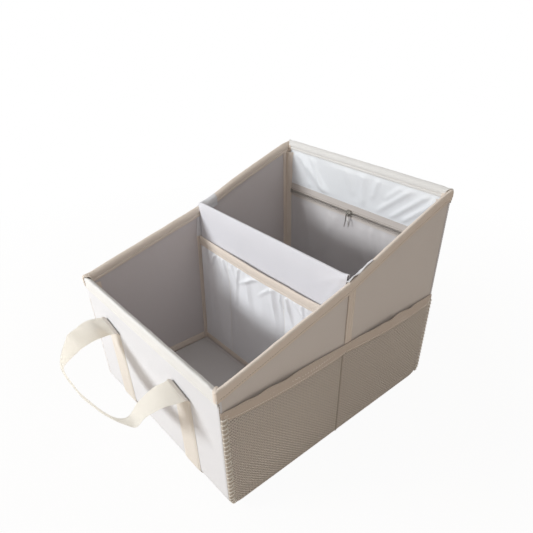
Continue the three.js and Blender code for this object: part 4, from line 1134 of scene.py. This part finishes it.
def mesh_foot(y):
    into = max(0.0, abs(y) - (MESH_HALF - CORNER))
    return UNDER + MESH_IN + CORNER - math.sqrt(max(0.0, CORNER ** 2 - into ** 2))


def mesh_swell(y, z):
    level = clamp((z - mesh_foot(y)) / (mesh_top(y) - mesh_foot(y)) / 0.9)
    share = math.sin(math.pi * clamp(abs(y) / MESH_HALF))
    return MESH_SWELL * max(0.0, share) ** 0.7 * level ** 0.6


def yarn_tree():
    """Every edge of the seed as yarn of a given radius."""
    tree, way_in, way_out = geometry_tree("yarns", Radius=0.0005, Sides=5)
    line = add(tree, "GeometryNodeMeshToCurve", Mesh=way_in["Geometry"])
    ring = add(tree, "GeometryNodeCurvePrimitiveCircle", Resolution=way_in["Sides"],
               Radius=way_in["Radius"])
    tube = add(tree, "GeometryNodeCurveToMesh", Curve=line.outputs[0], Profile_Curve=ring.outputs[0],
               Fill_Caps=True)
    return close_tree(tree, tube.outputs[0], way_in, way_out)


YARNS = yarn_tree()
for side, name in SIDES:
    knots, ties = [], []
    for k in range(int(2 * (MESH_HALF - NET_MARGIN) / NET_STEP) + 1):
        y0 = -MESH_HALF + NET_MARGIN + k * NET_STEP
        for j in range(int((mesh_top(y0) - NET_MARGIN - mesh_foot(y0)) / NET_STEP) + 1):
            y = y0 + 0.46 * NET_STEP * (1 if (j + k) % 2 else -1)
            z = mesh_foot(y0) + 1.2 * MM + j * NET_STEP
            sewn_down = 1.0 * MM * bell(y - SEAM_Y, 1.6 * MM)
            sewn_down += 1.6 * MM * ease(1 - (z - mesh_foot(y)) / (4.5 * MM))
            x = NET_OFF + mesh_swell(y, z) + 0.12 * MM * (1 if k % 2 else -1) - sewn_down
            if j:
                ties.append((len(knots) - 1, len(knots)))
            knots.append((side * x, y, z))
    net = grown(f"{name}_net", knots, ties, YARNS, Radius=NET_YARN, Sides=4, Finish=YARN)
    sewn(net, "pocket_mesh", f"{name}_mesh_pocket", flat=(2 * MESH_HALF, MESH_TOPS[0]), held="stretched",
         rests_on=["outer_strip"])

# The mouth's binding is folded over the edge of the net. It gapes where things have been pushed in.
MOUTH_TAPE = woven("mouth_tape", srgb(206, 192, 179), 0.50 * MM, 0.10 * MM, 0.74, sheen=0.12)
mouth_route = profile((2.95, -11.0), (3.2, -10.0), (3.05, -8.9), (2.95, -8.2), (3.3, -6.6), (3.35, -4.0),
                      (3.2, -1.9), (2.5, -0.75), (1.75, -0.45), (1.0, -0.8), (0.65, -2.0), (0.5, -5.0),
                      (0.5, -11.0))
# How much of the net's swell the mouth's top edge keeps, and where it gapes: place, half width and how
# much more it keeps there.
MOUTH_KEEPS = 0.10
GAPES = ((-165, 9, 0.30), (-138, 12, 0.55), (-100, 16, 0.50), (55, 20, 0.45), (84, 12, 0.55),
         (128, 11, 0.55))


def mouth_point(side, y, station, pull=0.25 * MM):
    """A point of the folded tape. pull is how far its outer leg puckers."""
    out, rise = mouth_route[station]
    out += pull * ripple(y, rise, 12 * MM, 171 + side) * fade(out - 1.2 * MM, 1.5 * MM)
    z = mesh_top(y) + rise
    dip = 0.3 * MM * ripple(y, 0, 50 * MM, 173) + 1.2 * MM * math.sin(math.pi * abs(y) / MESH_HALF)
    high = ease(1 + rise / (11 * MM))
    kept = MOUTH_KEEPS + sum(size * bell(y / MM - at, half) for at, half, size in GAPES)
    flat = 0.45 + 0.55 * fade(MESH_HALF - abs(y), 20 * MM)
    x = HALF_WIDTH + 0.2 * MM + mesh_swell(y, z) * (1 - (1 - kept) * high) + out * flat
    return side * x, y, z + dip * (0.4 + 0.6 * high)


for side, name in SIDES:
    piece = cloth_piece(f"{name}_mouth_band", spread(-MESH_HALF, MESH_HALF, 170)[::side],
                        range(len(mouth_route)), lambda y, station: mouth_point(side, y, station),
                        BAND_PLY, MOUTH_TAPE)
    sewn(piece, "binding_tape", f"{name}_mesh_binding", flat=(25 * MM, 2 * MESH_HALF), held="folded",
         rests_on=[f"{name}_net"])


# The net's cut ends are rolled and overlocked: a round edge with a thick zigzag thread, beside each corner.
def lit_through(material, colour, share):
    """Let part of the light come through, as it does through loose yarn and open webbing."""
    tree = material.node_tree
    through = add(tree, "ShaderNodeBsdfTranslucent", Color=colour)
    both = mix_shader(tree, share, tree.nodes["Principled BSDF"], through)
    feed_named(tree, tree.nodes["Material Output"], Surface=both)


THREAD = woven("thread", srgb(250, 247, 240), 0.30 * MM, 0.08 * MM, 0.60, sheen=0.15)
lit_through(THREAD, srgb(252, 249, 244), 0.5)
# A dark brown thread: painted shade, drawn as dark rows in the grooves of the rims' outer legs, down the
# corners and beside the zip.
PAINTED_SHADE_THREAD = woven("seam_thread_painted_shade", srgb(150, 136, 122), 0.30 * MM, 0.08 * MM, 0.70, sheen=0.05)
# The rolled edge is the same yarn, darkened: painted shade standing in for the shade seen through the net's
# holes.
SHADED_EDGE_NET = woven("rolled_net_painted_shade", srgb(196, 186, 173), 0.40 * MM, 0.12 * MM, 0.75, sheen=0.10)
OVERLOCK_STEP = 3          # stations from one pass of the thread to the next
EDGE_STATIONS = 61 + 8     # down the wall, and half round the turn
bead = profile((0.3, 1.2), (1.3, 0.75), (2.4, 1.0), (3.1, 2.1), (3.15, 3.8), (2.8, 5.4), (2.2, 6.6))
for side, end, corner in QUARTERS:
    top = mesh_top(end * MESH_HALF) - 9 * MM
    run = strip_path(0, top, top, (60, 16, 4))[:EDGE_STATIONS]
    net = f"{corner.split('_')[0]}_net"

    def bead_point(k, station, proud=0.0):
        out, into = bead[k]
        y, z, out_y, out_z = run[station]
        return side * (HALF_WIDTH + out + proud), -end * (y - out_y * into), z - out_z * into

    edge = cloth_piece(f"{corner}_net_edge", range(len(bead))[::-side * end], range(len(run)), bead_point,
                       0.7 * MM, SHADED_EDGE_NET)
    sewn(edge, "pocket_mesh", flat=(10.1 * MM, top), held="folded", area=7.2 * MM * top, rests_on=[net])
    over = list(range(1, len(bead), 3)) + [len(bead) - 1]
    zigzag = [bead_point(k, i, 0.65 * MM) for i in range(0, len(run), OVERLOCK_STEP)
              for k in (over if i % (2 * OVERLOCK_STEP) == 0 else over[::-1])]
    overlock = grown(f"{corner}_overlock", zigzag, [(i, i + 1) for i in range(len(zigzag) - 1)], YARNS,
                     Radius=0.85 * MM, Sides=6, Finish=THREAD)
    sewn(overlock, "pocket_mesh")


# Straps
# Two lengths of ribbed webbing, sewn up the front, under the base and up the back. At the top of each run
# the webbing bends out from the wall and goes on as the handle.
WEBBING = 1.6 * MM
# The straps get a darker copy of the webbing, as painted shade, and the handle loops a brighter one, as
# painted light.
SHADED_STRAP_WEB = woven("strap_webbing_painted_shade", srgb(233, 226, 217), 1.15 * MM, 0.36 * MM, 0.80, sheen=0.10)
WEB_SHARP = 60
FOLD_BEND = 5 * MM
FOLD_SLANT = 0.25          # the fold runs down towards the right, so the loop leaves it a little askew
FOLD_DROP = 48.5 * MM      # from the rim's top down to the fold
FRONT_FOLD = FRONT_TOP - FOLD_DROP
BACK_FOLD = BACK_TOP - FOLD_DROP
STITCH_IN = 3.2 * MM
web_face = HALF_DEPTH + 0.58 * MM
strap_turn = CORNER + 1.8 * MM
strap_radius = strap_turn - WEBBING / 2
bend_radius = FOLD_BEND + WEBBING / 2
bend_y = web_face + bend_radius


def arc_points(y, z, radius, start, stop, steps):
    return [(y + radius * math.cos(a), z + radius * math.sin(a))
            for a in spread(start * QUARTER, stop * QUARTER, steps)]


strap_route = (arc_points(-bend_y, FRONT_FOLD, bend_radius, 1, 0, 8)
               + [(-web_face, z) for z in spread(FRONT_FOLD, strap_turn, 26)[1:]]
               + arc_points(-TURN_Y, strap_turn, strap_radius, 2, 3, 10)[1:]
               + [(y, WEBBING / 2) for y in spread(-TURN_Y, TURN_Y, 20)[1:]]
               + arc_points(TURN_Y, strap_turn, strap_radius, 3, 4, 10)[1:]
               + [(web_face, z) for z in spread(strap_turn, BACK_FOLD, 40)[1:]]
               + arc_points(bend_y, BACK_FOLD, bend_radius, 2, 1, 8)[1:])
strap_run = [Vector((0, *place)) for place in strap_route]


def web_thickness(across, station):
    """The selvedges are thinner than the middle."""
    return WEBBING * (0.24 + 0.50 * fade(STRAP_HALF - abs(across), 3.6 * MM))


for name, centre in zip(("left", "right"), STRAP_AT):
    def strap_point(across, station):
        y, z = strap_route[station]
        run = strap_run[min(station + 1, len(strap_run) - 1)] - strap_run[max(station - 1, 0)]
        run.normalize()
        from_edge = STRAP_HALF - abs(across)
        on_wall = fade(abs(y) - TURN_Y, 8 * MM)
        if y < 0:
            on_wall *= fade(FRONT_FOLD + 30 * MM - z, 30 * MM)
        lift = on_wall * (0.2 * MM * ripple(across * 2, z, 26 * MM, 181 + centre * 100)
                          - 0.25 * MM * bell(from_edge - STITCH_IN, 0.6 * MM)
                          - 0.34 * MM * ease(1 - from_edge / (3 * MM)))
        sway = 0.5 * MM * on_wall * ripple(z, y, 60 * MM, 183 + centre * 100)
        top = FRONT_FOLD if y < 0 else BACK_FOLD
        slant = FOLD_SLANT * across * fade(z - top + 24 * MM, 24 * MM)
        return centre + across + sway, y + run.z * lift, z - run.y * lift - slant

    piece = cloth_piece(f"{name}_webbing", spread(STRAP_HALF, -STRAP_HALF, 34), range(len(strap_route)),
                        strap_point, web_thickness, SHADED_STRAP_WEB, WEB_SHARP)
    sewn(piece, "webbing", f"{name}_strap", flat=(2 * STRAP_HALF, reaches(strap_run)[-1]), held="stretched",
         rests_on=["outer_strip"])


# Handles
# The free loop of the same webbing between the two straps. It leaves its fold lying flat, creases where it
# turns the left corner, and stands on edge along the middle. The back handle is the same, higher up.
# The loop's webbing is the brighter copy: painted light.
LIT_LOOP_WEB = woven("webbing", srgb(247, 245, 240), 1.15 * MM, 0.20 * MM, 0.78, sheen=0.3)
lit_through(LIT_LOOP_WEB, srgb(250, 247, 241), 0.57)
LOOP_X = (STRAP_AT[0] + STRAP_AT[1]) / 2
# Stations along the loop: its outer edge and its inner edge, each right, out and up in millimetres from
# the middle between the two folds.
LOOP_EDGES = [
    (-98, 0.1, 4.2, -65, 0, -4.2), (-99, 15, 6.8, -70.8, 3.6, -7.1),
    (-93, 27.6, 10, -81.2, 7.1, -13.6), (-86.4, 37.5, 10.8, -88, 19.7, -18),
    (-84.8, 48.5, 8, -90, 34.6, -22.4), (-77, 54.4, 7.1, -86.3, 45.9, -24.5),
    (-69.5, 60.8, 5, -81.9, 56.8, -26.4), (-61.5, 66.8, 2.5, -75.9, 66.5, -28.3),
    (-53.3, 72.3, -0.3, -65.5, 69.7, -31.9), (-44.1, 76.1, -3.3, -54.3, 69.2, -35),
    (-34, 77.2, -5.8, -43, 68.7, -37.5), (-23.5, 77.3, -7.8, -31.7, 68.3, -39.5),
    (-12.9, 77, -9.4, -20.6, 66.7, -40.9), (-2.2, 76.8, -10.8, -9.6, 64.7, -41.7),
    (8.7, 76.3, -12.1, 1.3, 62.8, -42.4), (19.6, 74.6, -12.8, 12, 60.6, -42.8),
    (30.7, 72.7, -13.5, 22.4, 57.8, -42.9), (41.8, 70.7, -14.4, 32.4, 54.3, -42.7),
    (52.8, 67.6, -15.2, 41.3, 49.2, -41.3), (63.7, 63.7, -16.1, 47.1, 42.8, -37.1),
    (73.7, 58, -18.1, 48.6, 37.5, -28.4), (82.4, 50.5, -20.2, 52.2, 34.6, -19.3),
    (85.1, 41.2, -11.7, 54.2, 27.3, -13), (89.2, 30.4, -6.1, 56.8, 20.2, -6.5),
    (93.4, 18.5, -3.1, 60, 12.7, -1.1), (97.4, 6.2, -3.6, 64.2, 4.9, 2.6),
    (98, 0.1, -4.3, 65.1, 0, 4.1),
]
for end, name, fold in ((-1, "front", FRONT_FOLD), (1, "back", BACK_FOLD)):
    base = Vector((LOOP_X, bend_y, fold + bend_radius))
    outer_edge, inner_edge = [
        smooth_line([base + Vector(row[first:first + 3]) * MM for row in LOOP_EDGES], 5) for first in (0, 3)]
    middle = [(a + b) / 2 for a, b in zip(outer_edge, inner_edge)]
    last = len(middle) - 1

    def loop_point(across, station):
        outer, inner = outer_edge[station], inner_edge[station]
        run = (middle[min(station + 1, last)] - middle[max(station - 1, 0)]).normalized()
        share = station / last
        free = ease(share * 12) * ease((1 - share) * 12)
        cup = free * 0.5 * MM * ((across / STRAP_HALF) ** 2 - 0.4)
        wave = free * 0.15 * MM * ripple(share * 0.3, across, 30 * MM, 191 + end)
        p = inner.lerp(outer, 0.5 + across / STRAP_HALF / 2)
        p += run.cross(outer - inner).normalized() * (cup + wave)
        return p.x, end * p.y, p.z

    node = f"{name}_handle"
    loop = cloth_piece(f"{name}_handle_loop", spread(-STRAP_HALF, STRAP_HALF, 34)[::end], range(len(middle)),
                       loop_point, web_thickness, LIT_LOOP_WEB, WEB_SHARP)
    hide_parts(node)
    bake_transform(loop)


# Base boards
# A loose stiff board in each compartment, covered in the lining cloth, with its edges turned and pressed.
BOARD_CLOTH = woven("base_board", srgb(196, 192, 191), 0.50 * MM, 0.08 * MM, 0.60, sheen=0.05)


def board_stations(start, stop, steps):
    """Places across a board, closer together at its rounded edges."""
    near = [0, 0.3 * MM, 0.8 * MM, 1.6 * MM, 4 * MM]
    return sorted({*[start + e for e in near], *spread(start + 8 * MM, stop - 8 * MM, steps),
                   *[stop - e for e in near]})


for name in ("front", "rear"):
    node = f"{name}_base_board"
    low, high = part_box(node)
    thick = high.z - low.z

    def rounded_edge(x, y):
        reach = clamp(min(x - low.x, high.x - x, y - low.y, high.y - y) / (thick * 0.5))
        return thick * (0.35 + 0.65 * math.sqrt(reach * (2 - reach)))

    piece = cloth_piece(f"{name}_covered_board", board_stations(low.x, high.x, 40),
                        board_stations(low.y, high.y, 24), lambda x, y: (x, y, (low.z + high.z) / 2),
                        rounded_edge, BOARD_CLOTH)
    sewn(piece, "base_board", node, body=node)


# Seam threads
# Lockstitch in a polyester thread, a little thicker than the weave: it holds every binding, tape, strap and
# pocket where it lies. Each stitch rises from its hole, lies on the cloth and goes down again.
def seam(name, finish, lines, radius=0.26 * MM, stitch=3.4 * MM, low=0.30 * MM, high=0.68 * MM):
    """Stitches along lines on the middle of a cloth. Each line holds its points and the way out of it."""
    points, ties = [], []
    for line, out in lines:
        line = [Vector(p) for p in line]
        reach = reaches(line)
        spot = 0
        for k in range(int(reach[-1] / stitch)):
            for step, rise in ((0.10, low), (0.30, high), (0.64, high), (0.84, low)):
                at = (k + step) * stitch
                while reach[spot + 1] < at and spot < len(reach) - 2:
                    spot += 1
                share = (at - reach[spot]) / max(1e-9, reach[spot + 1] - reach[spot])
                points.append(line[spot].lerp(line[spot + 1], share) + Vector(out) * rise)
                if step > 0.2:
                    ties.append((len(points) - 2, len(points) - 1))
    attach(grown(name, points, ties, YARNS, Radius=radius, Sides=5, Finish=finish), "box")


# The stations of the folded tapes that the rows of stitches run along.
RIM_OUTSIDE = 9
SIDE_INSIDE = 48
END_INSIDE = 51
MOUTH_ROW = 6
BAND_ROW = 9
rim_rows, shaded_rows, end_rows = [], [], []
long_row = spread(-0.985, 0.985, 150)
inside_row = spread(-0.94, 0.94, 150)
for side in (-1, 1):
    shaded_rows.append(([side_rim_point(side, t, RIM_OUTSIDE) for t in long_row], (side, 0, 0)))
    rim_rows.append(([side_rim_point(side, t, SIDE_INSIDE) for t in inside_row], (-side, 0, 0)))
    end_rows.append(([end_rim_point(side, t, RIM_OUTSIDE) for t in long_row], (0, side, 0)))
    end_rows.append(([end_rim_point(side, t, END_INSIDE) for t in spread(-0.93, 0.93, 120)], (0, -side, 0)))
seam("side_rim_stitches", THREAD, rim_rows)
# The row in the outer legs' groove is the dark thread: painted shade of the groove.
seam("outer_rim_stitches", PAINTED_SHADE_THREAD, shaded_rows, radius=0.36 * MM, low=0.2 * MM, high=0.5 * MM)
seam("end_rim_stitches", THREAD, end_rows)

# The seam down each corner, where the strip's edge is folded over the side. Its dark thread is painted shade
# for the shadowed groove beside the net's edge.
CORNER_STATIONS = 91 + 12  # down the wall, and three quarters round the turn
rows = []
for side, end, corner in QUARTERS[2:] + QUARTERS[:2]:
    top = (FRONT_TOP if end < 0 else BACK_TOP) - 14 * MM
    rows.append(([(side * (HALF_WIDTH + 0.1 * MM), -end * (y - out_y * 0.8 * MM), z - out_z * 0.8 * MM)
                  for y, z, out_y, out_z in strip_path(0, top, top, (90, 16, 4))[:CORNER_STATIONS]],
                 (side, 0, 0)))
seam("corner_seam_stitches", PAINTED_SHADE_THREAD, rows, radius=0.42 * MM, low=0.0, high=0.35 * MM)

rows = []
for centre in STRAP_AT:
    for across in (STRAP_HALF - STITCH_IN, STITCH_IN - STRAP_HALF):
        for end, top in ((-1, FRONT_FOLD), (1, BACK_FOLD)):
            rows.append(([(centre + across, web_face * end, z)
                          for z in spread(strap_turn, top - 4 * MM, 60)], (0, end, 0)))
seam("strap_stitches", THREAD, rows, low=0.20 * MM, high=0.62 * MM)
seam("mouth_stitches", THREAD, [
    ([mouth_point(side, y, MOUTH_ROW, 0.0) for y in spread(-MESH_HALF, MESH_HALF, 160)], (side, 0, 0))
    for side in (-1, 1)])
# The centre seam's thread is the darkened yarn: painted shade for the groove where the net is sewn down.
net_top = mesh_top(SEAM_Y) - 11 * MM
seam("net_centre_stitches", SHADED_EDGE_NET, [
    ([(side * (NET_OFF - 0.15 * MM + mesh_swell(y, z)), y, z)
      for z in spread(mesh_foot(y) + 1 * MM, net_top, 60)], (side, 0, 0))
    for side in (-1, 1) for y in (SEAM_Y - 0.8 * MM, SEAM_Y + 0.8 * MM)], radius=0.42 * MM)

forward = (0, -1, 0)
rows = [([band_point(x, BAND_ROW) for x in spread(-POCKET_X, POCKET_X, 160)], forward),
        ([pocket_point(x, 8 * MM) for x in spread(-POCKET_X, POCKET_X, 60)], forward)]
for x in POCKET_STOPS[1:3]:
    rows.append(([pocket_point(x, z) for z in spread(POCKET_FOOT, POCKET_TOP - POCKET_BAND, 90)], forward))
seam("pocket_stitches", THREAD, rows, radius=0.22 * MM, stitch=2.8 * MM)

low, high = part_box("right_seam_tape")
seam("seam_tape_stitches", THREAD, [
    ([(side * (HALF_WIDTH + 0.75 * MM), y, z)
      for z in spread(low.z + 2 * MM, rim_at(y) - SIDE_LEG - 2 * MM, 40)], (side, 0, 0))
    for side in (-1, 1) for y in (low.y + 1.6 * MM, high.y - 1.6 * MM)])

rows = []
for name, shift in (("upper", 4.6 * MM), ("lower", -4.6 * MM)):
    low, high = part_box(f"zip_{name}_tape")
    rows.append(([(x, (low.y + high.y) / 2, ZIP_Z + shift) for x in spread(low.x, high.x, 60)], forward))
# The zip's rows use the dark thread too: painted shade.
seam("zip_stitches", PAINTED_SHADE_THREAD, rows, radius=0.22 * MM, low=0.1 * MM, high=0.45 * MM)
